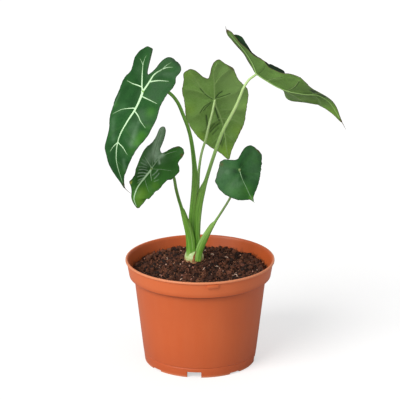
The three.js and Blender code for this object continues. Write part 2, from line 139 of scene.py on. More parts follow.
def roundRings(values, sides):
    # a value per ring, for every point of a shell with an end point on each side
    return np.concatenate([values[:1], np.repeat(values, sides), values[-1:]])


def directions(line):
    ahead = np.gradient(line, axis=0)
    return ahead / np.linalg.norm(ahead, axis=1, keepdims=True)


def sweep(line, sizes, sides=8, band=0, **marks):
    # a tube along a line in space; sizes are the radius at each point
    ahead = directions(line)
    side = np.cross(ahead, [0.31, 0.9, 0.3])  # any direction that no line here follows
    side /= np.linalg.norm(side, axis=1, keepdims=True)
    up = np.cross(side, ahead)
    turn = np.arange(sides) * math.tau / sides
    rings = [
        c + r * (np.outer(np.cos(turn), s) + np.outer(np.sin(turn), u))
        for c, r, s, u in zip(line, sizes, side, up)
    ]
    ends = [line[:1] - 0.4 * sizes[0] * ahead[:1], line[-1:] + 0.4 * sizes[-1] * ahead[-1:]]
    made = shell([ends[0], *rings, ends[1]], band)
    made["marks"] = {
        key: roundRings(v, sides) if np.ndim(v) else np.full(len(made["verts"]), v) for key, v in marks.items()
    }
    return made


def makePiece(name, shells, materials, node):
    # one object from closed shells; its place is in its mesh
    verts = np.vstack([s["verts"] for s in shells]) * mm
    faces, slots, start = [], [], 0
    for s in shells:
        faces += [tuple(v + start for v in face) for face in s["faces"]]
        slots += s["slots"]
        start += len(s["verts"])
    mesh = bpy.data.meshes.new(name)
    mesh.from_pydata(verts.tolist(), [], faces)
    cleaner = bmesh.new()
    cleaner.from_mesh(mesh)
    bmesh.ops.recalc_face_normals(cleaner, faces=cleaner.faces)
    cleaner.to_mesh(mesh)
    cleaner.free()
    for key in sorted({key for s in shells for key in s["marks"]}):
        values = np.concatenate([np.broadcast_to(s["marks"].get(key, 0.0), len(s["verts"])) for s in shells])
        mesh.attributes.new(key, "FLOAT", "POINT").data.foreach_set("value", values.astype(np.float32))
    for material in materials:
        mesh.materials.append(material)
    mesh.polygons.foreach_set("material_index", slots)
    mesh.shade_smooth()
    piece = bpy.data.objects.new(name, mesh)
    bpy.context.scene.collection.objects.link(piece)
    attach(piece, "root")
    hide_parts(node)
    return piece


# ---- shader tools ----


def addNode(tree, kind, inputs=None, **settings):
    node = tree.nodes.new(kind)
    for key, value in settings.items():
        setattr(node, key, value)
    for key, value in (inputs or {}).items():
        if isinstance(value, bpy.types.NodeSocket):
            tree.links.new(value, node.inputs[key])
        else:
            node.inputs[key].default_value = value
    return node


def maths(tree, operation, a, b=0.0):
    return addNode(tree, "ShaderNodeMath", {0: a, 1: b}, operation=operation).outputs[0]


def times(tree, a, b):
    return maths(tree, "MULTIPLY", a, b)


def mixColour(tree, factor, a, b, blend="MIX"):
    return addNode(tree, "ShaderNodeMix", {0: factor, 6: a, 7: b}, data_type="RGBA", blend_type=blend).outputs[2]


def ramp(tree, value, fromLow, fromHigh, toLow=0.0, toHigh=1.0):
    # value mapped smoothly from one range to another
    inputs = {"Value": value, "From Min": fromLow, "From Max": fromHigh, "To Min": toLow, "To Max": toHigh}
    return addNode(tree, "ShaderNodeMapRange", inputs, interpolation_type="SMOOTHSTEP").outputs[0]


def mark(tree, name):
    return addNode(tree, "ShaderNodeAttribute", attribute_name=name).outputs["Fac"]


def place(tree, stretch=(1, 1, 1)):
    # object coordinates in metres, stretched for streaks
    coordinate = addNode(tree, "ShaderNodeTexCoord").outputs["Object"]
    return addNode(tree, "ShaderNodeMapping", {"Vector": coordinate, "Scale": stretch}).outputs[0]


def newMaterial(name, constants):
    material = bpy.data.materials.new(name)
    material.use_nodes = True
    shader = material.node_tree.nodes["Principled BSDF"]
    for key, value in constants.items():
        shader.inputs[key].default_value = value
    return material, material.node_tree, shader


def newGroup(name, inputs, outputs):
    tree = bpy.data.node_groups.new(name, "ShaderNodeTree")
    for label, value in inputs.items():
        kind = "NodeSocketVector" if value is None else "NodeSocketColor" if np.ndim(value) else "NodeSocketFloat"
        socket = tree.interface.new_socket(name=label, in_out="INPUT", socket_type=kind)
        if value is not None:
            socket.default_value = value
    for label, kind in outputs.items():
        tree.interface.new_socket(name=label, in_out="OUTPUT", socket_type="NodeSocket" + kind)
    return tree, tree.nodes.new("NodeGroupInput").outputs, tree.nodes.new("NodeGroupOutput").inputs


def setGroup(tree, group, inputs):
    return addNode(tree, "ShaderNodeGroup", inputs, node_tree=group).outputs


def layered(tree, colour, *layers):
    # colours laid over one another, each as far as its mask says
    for mask, over in layers:
        colour = mixColour(tree, mask, colour, over)
    return colour


def finishSurface(tree, shader, colour, roughness=None, bump=None):
    # bump is (height, strength, distance in mm)
    tree.links.new(colour, shader.inputs["Base Color"])
    if roughness:
        tree.links.new(roughness, shader.inputs["Roughness"])
    if bump:
        height, strength, distance = bump
        made = addNode(tree, "ShaderNodeBump", {"Height": height, "Strength": strength, "Distance": distance * mm})
        tree.links.new(made.outputs[0], shader.inputs["Normal"])


# cloudy variation between two colours
mottle, given, out = newGroup(
    "cloudy mottle",
    {"Vector": None, "Scale": 60.0, "Contrast": 0.3, "Dark": (0, 0, 0, 1), "Light": (1, 1, 1, 1)},
    {"Colour": "Color", "Mask": "Float"},
)
cloud = addNode(
    mottle, "ShaderNodeTexNoise", {"Vector": given["Vector"], "Scale": given["Scale"], "Detail": 4, "Roughness": 0.6}
).outputs[0]
low = maths(mottle, "SUBTRACT", 0.5, given["Contrast"])
high = maths(mottle, "ADD", 0.5, given["Contrast"])
mask = addNode(mottle, "ShaderNodeMapRange", {"Value": cloud, "From Min": low, "From Max": high}).outputs[0]
mottle.links.new(mask, out["Mask"])
mottle.links.new(mixColour(mottle, mask, given["Dark"], given["Light"]), out["Colour"])


def cloudy(tree, spot, scale, contrast, dark=(0, 0, 0, 1), light=(1, 1, 1, 1)):
    inputs = {"Vector": spot, "Scale": scale, "Contrast": contrast, "Dark": dark, "Light": light}
    return setGroup(tree, mottle, inputs)



# the net of finest veins, and the cushions between them
veinNet, given, out = newGroup(
    "vein net", {"Vector": None, "Scale": 300.0, "Line": 0.12}, {"Height": "Float", "Line": "Float"}
)
bend = addNode(veinNet, "ShaderNodeTexNoise", {"Vector": given["Vector"], "Scale": 120, "Detail": 2})
bent = addNode(
    veinNet, "ShaderNodeMix", {0: 0.004, 4: given["Vector"], 5: bend.outputs["Color"]}, data_type="VECTOR",
    clamp_factor=False,
).outputs[1]
cell = addNode(
    veinNet, "ShaderNodeTexVoronoi", {"Vector": bent, "Scale": given["Scale"]}, feature="DISTANCE_TO_EDGE"
).outputs["Distance"]
veinNet.links.new(ramp(veinNet, cell, 0.0, 0.35), out["Height"])
netRange = {"Value": cell, "From Min": 0.0, "From Max": given["Line"], "To Min": 1, "To Max": 0}
veinNet.links.new(addNode(veinNet, "ShaderNodeMapRange", netRange).outputs[0], out["Line"])

# fine two-scale grain for bump
grain, given, out = newGroup("fine grain", {"Vector": None, "Scale": 900.0, "Coarse": 0.5}, {"Height": "Float"})
fine = addNode(
    grain, "ShaderNodeTexNoise", {"Vector": given["Vector"], "Scale": given["Scale"], "Detail": 3}
).outputs[0]
quarter = times(grain, given["Scale"], 0.22)
broad = addNode(grain, "ShaderNodeTexNoise", {"Vector": given["Vector"], "Scale": quarter, "Detail": 2}).outputs[0]
grain.links.new(maths(grain, "ADD", fine, times(grain, broad, given["Coarse"])), out["Height"])

# mix dust that clings below a height, patchy at its upper edge
dust, given, out = newGroup("mix dust", {"Level": 0.1, "Fade": 0.01, "Scale": 160.0}, {"Mask": "Float"})
where = addNode(dust, "ShaderNodeTexCoord").outputs["Object"]
height = addNode(dust, "ShaderNodeSeparateXYZ", {0: where}).outputs["Z"]
patch = addNode(dust, "ShaderNodeTexNoise", {"Vector": where, "Scale": given["Scale"], "Detail": 5}).outputs[0]
ragged = times(dust, maths(dust, "SUBTRACT", patch, 0.5), times(dust, given["Fade"], 3.0))
below = maths(dust, "ADD", maths(dust, "SUBTRACT", given["Level"], height), ragged)
clinging = addNode(dust, "ShaderNodeMapRange", {"Value": below, "From Min": 0.0, "From Max": given["Fade"]})
dust.links.new(clinging.outputs[0], out["Mask"])
print("shader groups ready")


# ---- pot ----

pot = {
    "height": 109,
    "rimRadius": 76.3,
    "bandHeight": 17,
    "bandFootRadius": 72,
    "bandSlope": 0.21,
    "wallTopRadius": 67.6,
    "grooveHeight": 10,
    "grooveDepth": 0.45,
    "footRadius": 57,
    "wall": 1.9,
    "lip": 2,
    "skirt": 3,
    "floorUnderside": 6.2,
    "floorThickness": 2,
    "padRadius": 24,
    "notches": 8,
    "notchWidths": (14.5, 13),
    "notchHeights": (6.2, 1.7),  # every other notch is only a dip in the skirt
    "notchTurn": -6,
    "drainRadius": 4,
    "drainCircle": 40,
    "segments": 208,
    "plastic": srgb(208, 97, 42),
    "plasticDark": srgb(199, 88, 37),
    # painted shade, laid on towards the pot's foot
    "deep": srgb(168, 72, 34),
    # painted highlight on the band
    "bright": srgb(240, 130, 76),
    # painted shadow under the band's overhang
    "paintedBandShadow": srgb(120, 46, 22),
    # pale streaks and wear, and the painted highlight on the lip
    "wearAndHighlight": srgb(232, 160, 118),
    "dust": srgb(96, 58, 38),
    "dustZ": 0.0985,
    "roughness": 0.42,
}
labelPad = {"width": 11.5, "height": 3.4, "proud": 1.1, "z": 104.4, "turn": 9.6}
bandFootZ = pot["height"] - pot["bandHeight"]
potFloorTop = pot["floorUnderside"] + pot["floorThickness"]


def wallRadius(z):
    return pot["footRadius"] + (pot["wallTopRadius"] - pot["footRadius"]) * z / bandFootZ


def potProfile():
    # [radius, height, rounding of the corner]
    wall, groove, rim = pot["wall"], pot["grooveHeight"], pot["rimRadius"]
    corners = [
        (0, 0, 0),
        (pot["padRadius"], 0, 0.8),
        (pot["padRadius"] + 4, pot["floorUnderside"], 1.2),
        (wallRadius(0) - pot["skirt"] - 0.6, pot["floorUnderside"], 0.8),
        (wallRadius(0) - pot["skirt"], 0, 0.5),
        (wallRadius(0), 0, 0.8),
        (wallRadius(groove - 0.7), groove - 0.7, 0.3),
        (wallRadius(groove) - pot["grooveDepth"], groove, 0.3),
        (wallRadius(groove) + 0.25, groove + 0.8, 0.5),
        (pot["wallTopRadius"], bandFootZ - 1.2, 0.7),
        (pot["bandFootRadius"] + 0.4, bandFootZ - 0.8, 1),
        (rim - 1.4, pot["height"] - 3.1, 0.4),
        (rim - 1.5, pot["height"] - 2.5, 0.3),
        (rim, pot["height"] - 2.3, 0.8),
        (rim, pot["height"], 1),
        (rim - pot["lip"], pot["height"], 0.5),
        (rim - wall - 1.2, pot["height"] - 1.6, 0.8),
        (pot["bandFootRadius"] - wall, bandFootZ + 1.6, 1.5),
        (pot["wallTopRadius"] - wall, bandFootZ - 1.5, 1.5),
        (wallRadius(potFloorTop + 3) - wall, potFloorTop + 3, 2.5),
        (wallRadius(potFloorTop) - 3 - wall, potFloorTop, 2.5),
        (pot["padRadius"] + 2.8, potFloorTop, 1.2),
        (pot["padRadius"] - 1.2, pot["floorThickness"], 1.2),
        (0, pot["floorThickness"], 0),
    ]
    line = [np.array(corners[0][:2], float)]
    for (ax, az, _), (bx, bz, radius), (cx, cz, _) in zip(corners, corners[1:], corners[2:]):
        corner = np.array([bx, bz], float)
        back, on = np.array([ax, az]) - corner, np.array([cx, cz]) - corner
        reach = min(radius, 0.45 * np.linalg.norm(back), 0.45 * np.linalg.norm(on))
        start = corner + back / np.linalg.norm(back) * reach
        stop = corner + on / np.linalg.norm(on) * reach
        previous = line[-1]
        runs = int(np.linalg.norm(start - previous) // 5)  # straight runs get a loop every 5 mm
        line += [previous + (start - previous) * (k + 1) / (runs + 1) for k in range(runs)]
        line += [(1 - t) ** 2 * start + 2 * t * (1 - t) * corner + t**2 * stop for t in (0, 0.25, 0.5, 0.75, 1)]
    line.append(np.array(corners[-1][:2], float))
    return line


def boxMesh(builder, size, centre, turn, lean=0.0):
    # a box with its outer edges rounded, pushed out along -Y and then turned round the pot; it is rounded in a
    # mesh of its own, so that its points come in the same order on every run
    box = bmesh.new()
    bmesh.ops.create_cube(box, size=1, matrix=Matrix.Diagonal((*size, 1)))
    bmesh.ops.bevel(box, geom=box.edges[:], offset=0.22, segments=2, affect="EDGES", profile=0.5)
    placed = Matrix.Rotation(turn, 4, "Z") @ Matrix.Translation(centre) @ Matrix.Rotation(lean, 4, "X")
    box.transform(Matrix.Scale(mm, 4) @ placed)
    mesh = bpy.data.meshes.new("box")
    box.to_mesh(mesh)
    box.free()
    builder.from_mesh(mesh)
    bpy.data.meshes.remove(mesh)


def toolObject(name, build):
    builder = bmesh.new()
    build(builder)
    bmesh.ops.recalc_face_normals(builder, faces=builder.faces)
    mesh = bpy.data.meshes.new(name)
    builder.to_mesh(mesh)
    builder.free()
    tool = bpy.data.objects.new(name, mesh)
    bpy.context.scene.collection.objects.link(tool)
    return tool


def potCutters(builder):
    for k in range(pot["notches"]):
        turn = math.radians(pot["notchTurn"]) + k * math.tau / pot["notches"]
        size = (pot["notchWidths"][k % 2], 12, 2 * pot["notchHeights"][k % 2])
        boxMesh(builder, size, (0, -pot["footRadius"], 0), turn)
        drain = pot["drainRadius"] * mm
        hole = bmesh.ops.create_cone(
            builder, segments=32, radius1=drain, radius2=drain, depth=8 * mm, cap_ends=True
        )["verts"]
        middle = turn + math.pi / pot["notches"]
        x, y = pot["drainCircle"] * math.sin(middle), -pot["drainCircle"] * math.cos(middle)
        bmesh.ops.translate(builder, vec=Vector((x, y, potFloorTop - 1)) * mm, verts=hole)


def potLabelPad(builder):
    lean = math.atan2(pot["rimRadius"] - pot["bandFootRadius"], pot["bandHeight"])
    share = (labelPad["z"] - bandFootZ) / pot["bandHeight"]
    radius = pot["bandFootRadius"] + (pot["rimRadius"] - pot["bandFootRadius"]) * share
    size = (labelPad["width"], 2, labelPad["height"])
    boxMesh(builder, size, (0, 1 - labelPad["proud"] - radius, labelPad["z"]), math.radians(labelPad["turn"]), lean)


def plasticMaterial():
    material, tree, shader = newMaterial("terracottaPlastic", {"Specular IOR Level": 0.5, "IOR": 1.49})
    spot = place(tree)
    base = cloudy(tree, spot, 14, 0.3, pot["plasticDark"], pot["plastic"])
    flow = cloudy(tree, place(tree, (1, 1, 0.12)), 90, 0.35)
    cling = setGroup(tree, dust, {"Level": pot["dustZ"], "Fade": 0.006, "Scale": 220})
    z = addNode(tree, "ShaderNodeSeparateXYZ", {0: spot}).outputs["Z"]
    top, bandFoot = pot["height"] * mm, bandFootZ * mm
    inside = mark(tree, "inside")
    outside = maths(tree, "SUBTRACT", 1.0, inside)
    # painted highlight: the band's outside lighter above its foot
    band = ramp(tree, z, bandFoot - 0.0005, bandFoot + 0.005, 0, 0.34)
    # painted shadow on the wall just under the band's foot
    under = ramp(tree, z, bandFoot - 0.004, bandFoot - 0.0015)
    paintedBandShadow = times(tree, under, ramp(tree, z, bandFoot + 0.0002, bandFoot - 0.001, 0, 0.6))
    # painted highlight along the lip's top; wear at the foot
    lipHighlightAndFootWear = maths(tree, "MAXIMUM", ramp(tree, z, top - 0.0024, top - 0.001), ramp(tree, z, 0.003, 0.0))
    colour = layered(
        tree, base["Colour"],
        (times(tree, flow["Mask"], 0.07), pot["wearAndHighlight"]),
        (times(tree, cling["Mask"], inside), pot["dust"]),  # a film of the mix, just above it
        # painted shade: the wall darker towards its foot
        (ramp(tree, z, 0.05, 0.0, 0, 0.35), pot["deep"]),
        (times(tree, band, outside), pot["bright"]),
        (times(tree, paintedBandShadow, outside), pot["paintedBandShadow"]),
        (times(tree, times(tree, lipHighlightAndFootWear, outside), 0.55), pot["wearAndHighlight"]),  # a painted highlight on the lip, wear at the foot
    )
    rough = ramp(tree, base["Mask"], 0.0, 1.0, pot["roughness"] - 0.04, pot["roughness"] + 0.08)
    skin = setGroup(tree, grain, {"Vector": spot, "Scale": 1500, "Coarse": 1.5})["Height"]
    finishSurface(tree, shader, colour, rough, (skin, 0.25, 0.05))
    return material


def makePot():
    turn = np.arange(pot["segments"]) * math.tau / pot["segments"]
    rings = []
    for radius, z in potProfile():
        if radius < 1e-6:
            rings.append(np.array([[0.0, 0.0, z]]))
        else:
            rings.append(np.stack([radius * np.sin(turn), -radius * np.cos(turn), np.full(len(turn), z)], 1))
    piece = makePiece("nurseryPot", [shell(rings)], [plasticMaterial()], "pot")
    tools = [(toolObject("cutters", potCutters), "DIFFERENCE"), (toolObject("labelPad", potLabelPad), "UNION")]
    for tool, operation in tools:
        cut = piece.modifiers.new(tool.name, "BOOLEAN")
        cut.object, cut.operation, cut.solver = tool, operation, "EXACT"
    solid = bpy.data.meshes.new_from_object(piece.evaluated_get(bpy.context.evaluated_depsgraph_get()))
    piece.modifiers.clear()
    piece.data = solid
    solid.name = "nurseryPot"
    for tool, _ in tools:
        bpy.data.objects.remove(tool)
    verts = np.empty(3 * len(solid.vertices))
    solid.vertices.foreach_get("co", verts)
    verts = verts.reshape(-1, 3) / mm
    radius, z = np.hypot(verts[:, 0], verts[:, 1]), verts[:, 2]
    band = pot["bandFootRadius"] + (z - bandFootZ) * pot["bandSlope"]
    inner = np.where(z > bandFootZ, band, wallRadius(z)) - pot["wall"] / 2
    inside = (z > potFloorTop - 1) & (radius < inner) | (radius < pot["padRadius"] + 2) & (z > 1.5)
    solid.attributes.new("inside", "FLOAT", "POINT").data.foreach_set("value", inside.astype(np.float32))
    solid.shade_smooth()
    solid.set_sharp_from_angle(angle=math.radians(38))
    print("pot:", len(solid.polygons), "faces")


makePot()


# ---- leaf blades ----

# Each blade hangs on a midrib in space. Its flat outline, veins and strokes are in (along, across): along the
# midrib from the vein node, and across it to the left of someone looking along it from above. A vein is
# (width, end width, paleness, points...), a stroke of colour (reach, strength, points...), and a crease
# (reach, depth, points...). The folds are (along, degrees right of the midrib, degrees left of it).
# Of the colour strokes, bright is painted light where light falls on a blade, the sheen strokes are the velvet's
# painted sheen, and dark and underDark are painted shade; creases and ribs carry painted shade and painted glints
# besides their relief. Olive, brown and blemish are the leaf's own colour.
blades = {
    "leaf_blade_left_tall": {
        "midrib": [
            (-52, -22, 331), (-54, -31, 314), (-56, -38, 294), (-63, -48, 279), (-71, -56, 268), (-78, -62, 256),
            (-81, -66, 244), (-81, -68, 230), (-75, -66, 207),
        ],
        "nodeAt": 2,
        "face": (-0.45, -0.8, 0.35),
        "folds": [(-50, -14, -5), (0, -14, -6), (50, -22, -4), (100, -10, -4)],
        "cup": -0.15,
        "crease": 4,
        "ripple": (0.8, 7),
        "outline": [
            (-17, 4), (-31, 5), (-38, 5.3), (-41.4, 7), (-43.9, 4.2), (-44.8, 0), (-43.8, -5), (-40.5, -11),
            (-35.5, -15), (-27, -16.3), (-21, -18), (-14.5, -26), (-8, -30), (1, -32.4), (13, -34), (27, -29.6),
            (38, -25), (47, -19.6), (56, -18.4), (64, -18.6), (72, -14.4), (81, -11), (91, -6.2), (98, -2.8),
            (105, 0.4), (98, 2.2), (92, 4.6), (85.5, 9.4), (80, 13), (75, 16), (68, 19.2), (62, 21.8), (56, 23.8),
            (49, 25.2), (42, 25.8), (36, 26.2), (29, 25.5), (22, 25.2), (9, 23.2), (0, 25.5), (-6, 30.5), (-10, 32.8),
            (-14.5, 33.2), (-18, 36.2), (-22.7, 38.2), (-27.6, 35.6), (-30.4, 31.4), (-33, 28.3), (-34.4, 23.8),
            (-32.5, 19.4), (-28.5, 15.4), (-23, 11.5), (-18.5, 7),
        ],
        "veins": [
            (3, 0.4, 1, (0, 0), (20, 0), (50, 0), (80, 0), (99, 0)),
            (2, 1, 1, (0, 0), (-5, -2), (-14, -2.6), (-25.8, -3)),
            (0.9, 0.3, 0.65, (-25.8, -3), (-29, -4.5), (-33.5, -8)),
            (0.9, 0.3, 0.6, (-25.8, -3), (-30, -2.4), (-36, 0)),
            (2.2, 1, 1, (0, 0), (-9.7, 5.8), (-16.6, 10.3), (-22.7, 18.8)),
            (0.9, 0.3, 0.5, (-22.7, 18.8), (-26.1, 22), (-29, 26.5)),
            (1, 0.3, 0.75, (-22.7, 18.8), (-24.2, 23.5), (-24.5, 29)),
            (1.4, 0.6, 0.9, (-9.7, 5.8), (-11.2, 14.8), (-11, 26)),
            (1.5, 0.6, 1, (-4.4, -1.8), (-6.2, -9), (-7.5, -15), (-10.4, -23)),
            (1.3, 0.5, 0.95, (5, 0), (7, 9.9), (8.5, 19)),
            (1.4, 0.5, 1, (18.7, 0), (20.2, -8), (23, -16), (31.5, -25)),
            (1.4, 0.5, 0.95, (21.5, 0), (25, 7), (28.2, 11.6), (32.5, 20.5)),
            (1.2, 0.5, 0.95, (57.5, 0), (61.8, -5.1), (67.5, -10)),
            (1.2, 0.5, 0.95, (57, 0), (61.3, 7.2), (68.5, 13)), (0.5, 0.2, 0.02, (40, 0), (45, -8), (52, -15)),
            (0.5, 0.2, 0.02, (41, 0), (46, 10), (53, 19)), (0.5, 0.2, 0.05, (75, 0), (80, 5), (85, 6.6)),
        ],
        "bright": [
            (5, 0.7, (18, 17)), (4.6, 0.9, (41, 21), (54, 20)), (4, 0.4, (18, -28.6)), (5, 0.4, (63, 18)),
            (4, 0.3, (88, 4)), (5, 0.15, (-24, 24)), (4, 0.35, (30, 22)),
        ],
        "silvery": [
            (3.4, 0.22, (36.8, -19.7), (46, -14), (54.9, -6.8)),
            (2.6, 0.34, (28.4, 10.6), (45.2, 14.7), (56.7, 16.1)), (4, 0.06, (-21.6, -9.7)),
            (2.4, 0.16, (-16.4, 21.5), (-15.6, 31.8)), (2, 0.34, (74.3, 8.9), (85.4, 7.5)), (9, 0.1, (24, -18)),
            (6, 0.18, (26, 8), (36, 10)), (1.6, 0.3, (4, -30), (20, -31)),
        ],
        "dark": [
            (3, 0.9, (-41.7, 6)), (3, 0.9, (-32.5, 28), (-28, 35)), (7, 0.15, (-6, 14)), (8, 0.35, (-14, -8)),
            (9, 0.4, (-40, -8), (-30, -10)), (9, 0.3, (-30, 24), (-18, 18)), (14, 0.36, (70, -2), (86, 0)),
            (9, 0.3, (0, -22), (6, -26)), (6, 0.4, (62, -4)), (5, 0.45, (30, 4)), (6, 0.3, (48, -8)),
            (6, 0.25, (10, -12)), (5, 0.4, (-3, -6), (16, -7)),
        ],
        "pip": (0, 0, 1.9, 0),
        "threads": [[2, (99, 0.4), (104, 0.8), (107, 2.2), (111, 6)]],
    },
    "leaf_blade_left_low": {
        "midrib": [
            (-34, -28, 254), (-41, -34, 235), (-48, -40, 216), (-53, -44, 210), (-60, -49, 202), (-63, -52, 197),
            (-65, -54, 189), (-62, -53, 179),
        ],
        "nodeAt": 2,
        "face": (-0.2, -0.85, 0.45),
        "folds": [(-50, -30, -10), (0, -32, -14), (50, -20, -5)],
        "cup": -0.2,
        "crease": 3,
        "ripple": (1.5, 9),
        "outline": [
            (-18, 5), (-20.8, 2), (-26, 2.3), (-33, 2.4), (-40, 1.2), (-43, -1.5), (-43, -5), (-40, -8), (-34, -8.5),
            (-28, -9.5), (-23, -12.5), (-18, -18), (-9, -21), (0, -21), (7, -18), (14, -13.4), (17.5, -12.6),
            (19.6, -12.6), (21.3, -13.6), (22.8, -11.4), (25, -8), (29, -5.2), (36, -3), (46.3, 0.4), (43.8, 5.6),
            (41.5, 10), (38, 13.4), (33, 14.4), (27, 16.2), (21.5, 17), (16, 17.2), (12.5, 18.6), (7, 18.4),
            (2, 19.3), (0.6, 22.8), (-2.2, 24.6), (-6, 26.5), (-10, 25), (-13, 23.2), (-16, 23.4), (-21, 25.4),
            (-26, 25.3), (-29.2, 22.3), (-29.6, 17.6), (-25, 11.5), (-20, 7.5),
        ],
        "veins": [
            (2.3, 0.9, 1, (0, 0), (9, 0), (20, 0), (33, 0), (44, 0)),
            (1.1, 0.4, 0.8, (0, 0), (-1.5, -1.7), (-5.3, -8.4), (-9.7, -16.7)),
            (1, 0.4, 0.35, (0, 0), (-10, -2.4), (-24, -4), (-38, -4.5)),
            (1.1, 0.4, 0.45, (0, 0), (-10.1, 3.2), (-17.9, 9), (-25, 18)),
            (1, 0.4, 0.8, (1, 0), (4.4, 2.1), (9.9, 7.5)), (0.6, 0.3, 0.3, (12, 0), (17, 7), (22, 13)),
            (0.6, 0.3, 0.3, (0, 1), (-3, 10), (-5, 20)),
        ],
        # painted light; the widest stroke lifts the blade out of leaf 1's shadow
        "bright": [
            (6, 0.8, (19.8, 9)), (6, 0.8, (32.9, 5.7)), (6, 0.6, (10, 13)), (4, 0.6, (40, 3)), (5, 0.3, (-24, 19)),
            (3, 0.7, (25, -4)), (60, 0.45, (0, 0)),
        ],
        "olive": [(7, 0.9, (26, 7), (40, 5)), (5, 0.5, (12, 13))],
        "silvery": [(5.8, 1.3, (-43, -4.5), (-24, -4), (-13, 0)), (8, 0.75, (-16, -6), (-7, -8)), (5, 0.4, (-12, 5))],
        "dark": [
            (7, 0.4, (-11.8, 13.8), (-6, 20.9)), (3, 0.5, (-6, 3), (-11, 5)), (4, 0.4, (13, -11)), (3, 0.5, (1, 9)),
            (2, 0.5, (5, -5), (6, -12)),
        ],
        # ribs raise the blade and carry painted glints
        "ribs": [
            (0.5, 0.7, (1.5, -5.5), (2, -11), (3.4, -16.4)), (0.6, 0.9, (3.8, -2.3), (4.6, -7), (6.8, -12.4)),
            (0.7, 1, (6.9, -0.9), (8, -5), (10.5, -10)), (0.55, 0.85, (9.7, -0.9), (11.4, -4), (14.4, -7.2)),
            (0.6, 0.8, (12.6, -0.9), (17, -3.8)), (0.45, 0.5, (15.8, -0.9), (19.5, -2.6)),
            (0.5, 0.5, (-1.2, -7), (-2, -17)), (0.4, 0.4, (-4, -8), (-5.5, -17)), (0.5, 0.6, (4.6, 4.8), (-1.1, 6.5)),
            (0.45, 0.5, (6.5, 8.2), (0.9, 8.9)), (0.4, 0.3, (9, 10), (5, 12)),
            (4.6, 0.9, (-42, -4.2), (-30, -4), (-21, -4), (-14, -2)), (5, 0.3, (-15, -6), (-8, -8)),
            (1.2, 0.6, (-13, -1), (-8, 0.5)), (1.8, 0.75, (-16.2, 6.3), (-12.6, 3.1)),
            (1, 0.7, (-12.6, 3.1), (-7.5, 5.7)),
        ],
        "brown": [(1.6, 0.7, (-22.3, 24.4)), (1.4, 0.7, (-29, 16.5)), (1.3, 0.9, (21.3, -13)), (1.2, 0.6, (46, 0.4))],
        "blemish": [(1.3, 0.8, (22, -10.6))],
        "pip": (0, 0, 1.5, 0.1),
    },
    "leaf_blade_back": {
        "midrib": [
            (6, 42, 300), (10, 54, 281), (15, 64, 260), (18, 71, 244), (22, 77, 228), (26, 81, 209), (30, 82, 190),
        ],
        "nodeAt": 2,
        "face": (-0.1, 0.82, 0.55),
        "upperPale": 0.95,
        "folds": [(-50, 14, 14), (0, 12, 12), (70, 6, 6)],
        "cup": -0.1,
        "crease": 4,
        "ripple": (0.8, 8),
        "outline": [
            (-28.6, 1.1), (-31, -0.8), (-35.6, -2.8), (-42, -5.2), (-48, -10), (-49, -15), (-43.4, -19), (-38, -23.5),
            (-31.5, -27.4), (-23, -28.2), (-14, -29.5), (-7.3, -33), (0, -36), (7, -35.6), (18, -32.5), (30, -28.2),
            (40, -24), (50, -16.5), (58, -10.5), (66, -5), (74.5, 0), (67.4, 6.4), (60.8, 13.8), (53.5, 20.2),
            (45.8, 25.9), (37.3, 30), (29.3, 32.8), (20, 34), (9, 33), (-2, 32.2), (-14, 31.8), (-22.2, 29.2),
            (-29, 26.6), (-36, 25.5), (-40.4, 21.8), (-44, 17), (-43.3, 13), (-38.2, 9.2), (-31.3, 5.2),
        ],
        "veins": [
            (2.1, 0.8, 1, (0, 0), (9.7, -0.1), (16.7, -1.2), (26.2, -2.1), (42.9, -1.9), (60, -0.5), (73, 0)),
            (1.5, 0.7, 0.8, (0, 0), (-5.6, -1), (-20.7, -4.1), (-38.7, -7.8), (-45, -12)),
            (1, 0.5, 0.75, (-18.9, -4), (-22.9, -8.1), (-28, -13.6), (-32.5, -21.5)),
            (1.1, 0.5, 0.55, (0, 0), (-6.9, 5.9), (-17.3, 10.5), (-31.6, 14.4), (-40.5, 18)),
            (0.8, 0.3, 0.35, (-8.6, 7.2), (-14.9, 17.9), (-17.6, 27)), (1, 0.4, 0.5, (0, 0), (0, -12.7), (-1.5, -27)),
            (0.8, 0.3, 0.2, (0, 0), (7.7, 12.5), (15.4, 18.7), (19.5, 26)),
            (1, 0.4, 0.6, (26.2, -2.1), (28.5, -7.1), (32.4, -14.2), (39.5, -20.8)),
            (0.8, 0.3, 0.2, (25, -2), (30, 9), (37, 20)), (0.8, 0.3, 0.25, (44, -1.8), (51, -7), (56, -10)),
            (0.8, 0.3, 0.2, (43, -1.8), (50, 7), (55, 14)), (0.6, 0.3, 0.2, (14, -0.8), (18, -12), (23, -24)),
        ],
        "bright": [
            (8, 0.8, (46, 25)), (9, 1, (66, 0)), (7, 0.7, (10, 29)), (6, 0.6, (-36, 20)), (7, 0.5, (20, -29)),
            (8, 0.5, (45, -16)), (5, 0.5, (-22, -26)),
        ],
        "silvery": [
            (4, 0.6, (-32, -8)), (6, 0.6, (14, -14)), (5, 0.4, (-30, -3)), (5, 0.5, (25, -20)),
            (17, 0.75, (-30, -20), (-10, -24), (18, -22)), (20, 0.28, (-20, 10), (20, 14)),
            (2.6, 0.6, (21, 3.4), (29, 6.5)), (4, 0.4, (-6, 18)), (3, 0.4, (50, -8)),
        ],
        "dark": [(6, 0.3, (0, 20)), (7, 0.3, (-20, 16))],
        "underDark": [(14, 0.2, (34, 8), (60, 2)), (4, 0.22, (28, 4), (44, 4))],
        "creases": [
            (0.65, 0.5, (-0.8, 1.6), (-2.4, 3.4), (-6.9, 7.3), (-16, 11.6)),
            (0.65, 0.5, (-1.8, -1.6), (-5.1, -5.7), (-6.1, -9.4)), (0.5, 0.4, (-0.9, -1.8), (-1, -9.7), (-1.4, -17)),
            (0.45, 0.3, (1.4, 2.4), (8.5, 12), (16, 18)), (0.45, 0.3, (3.6, 4.4), (14, 14)),
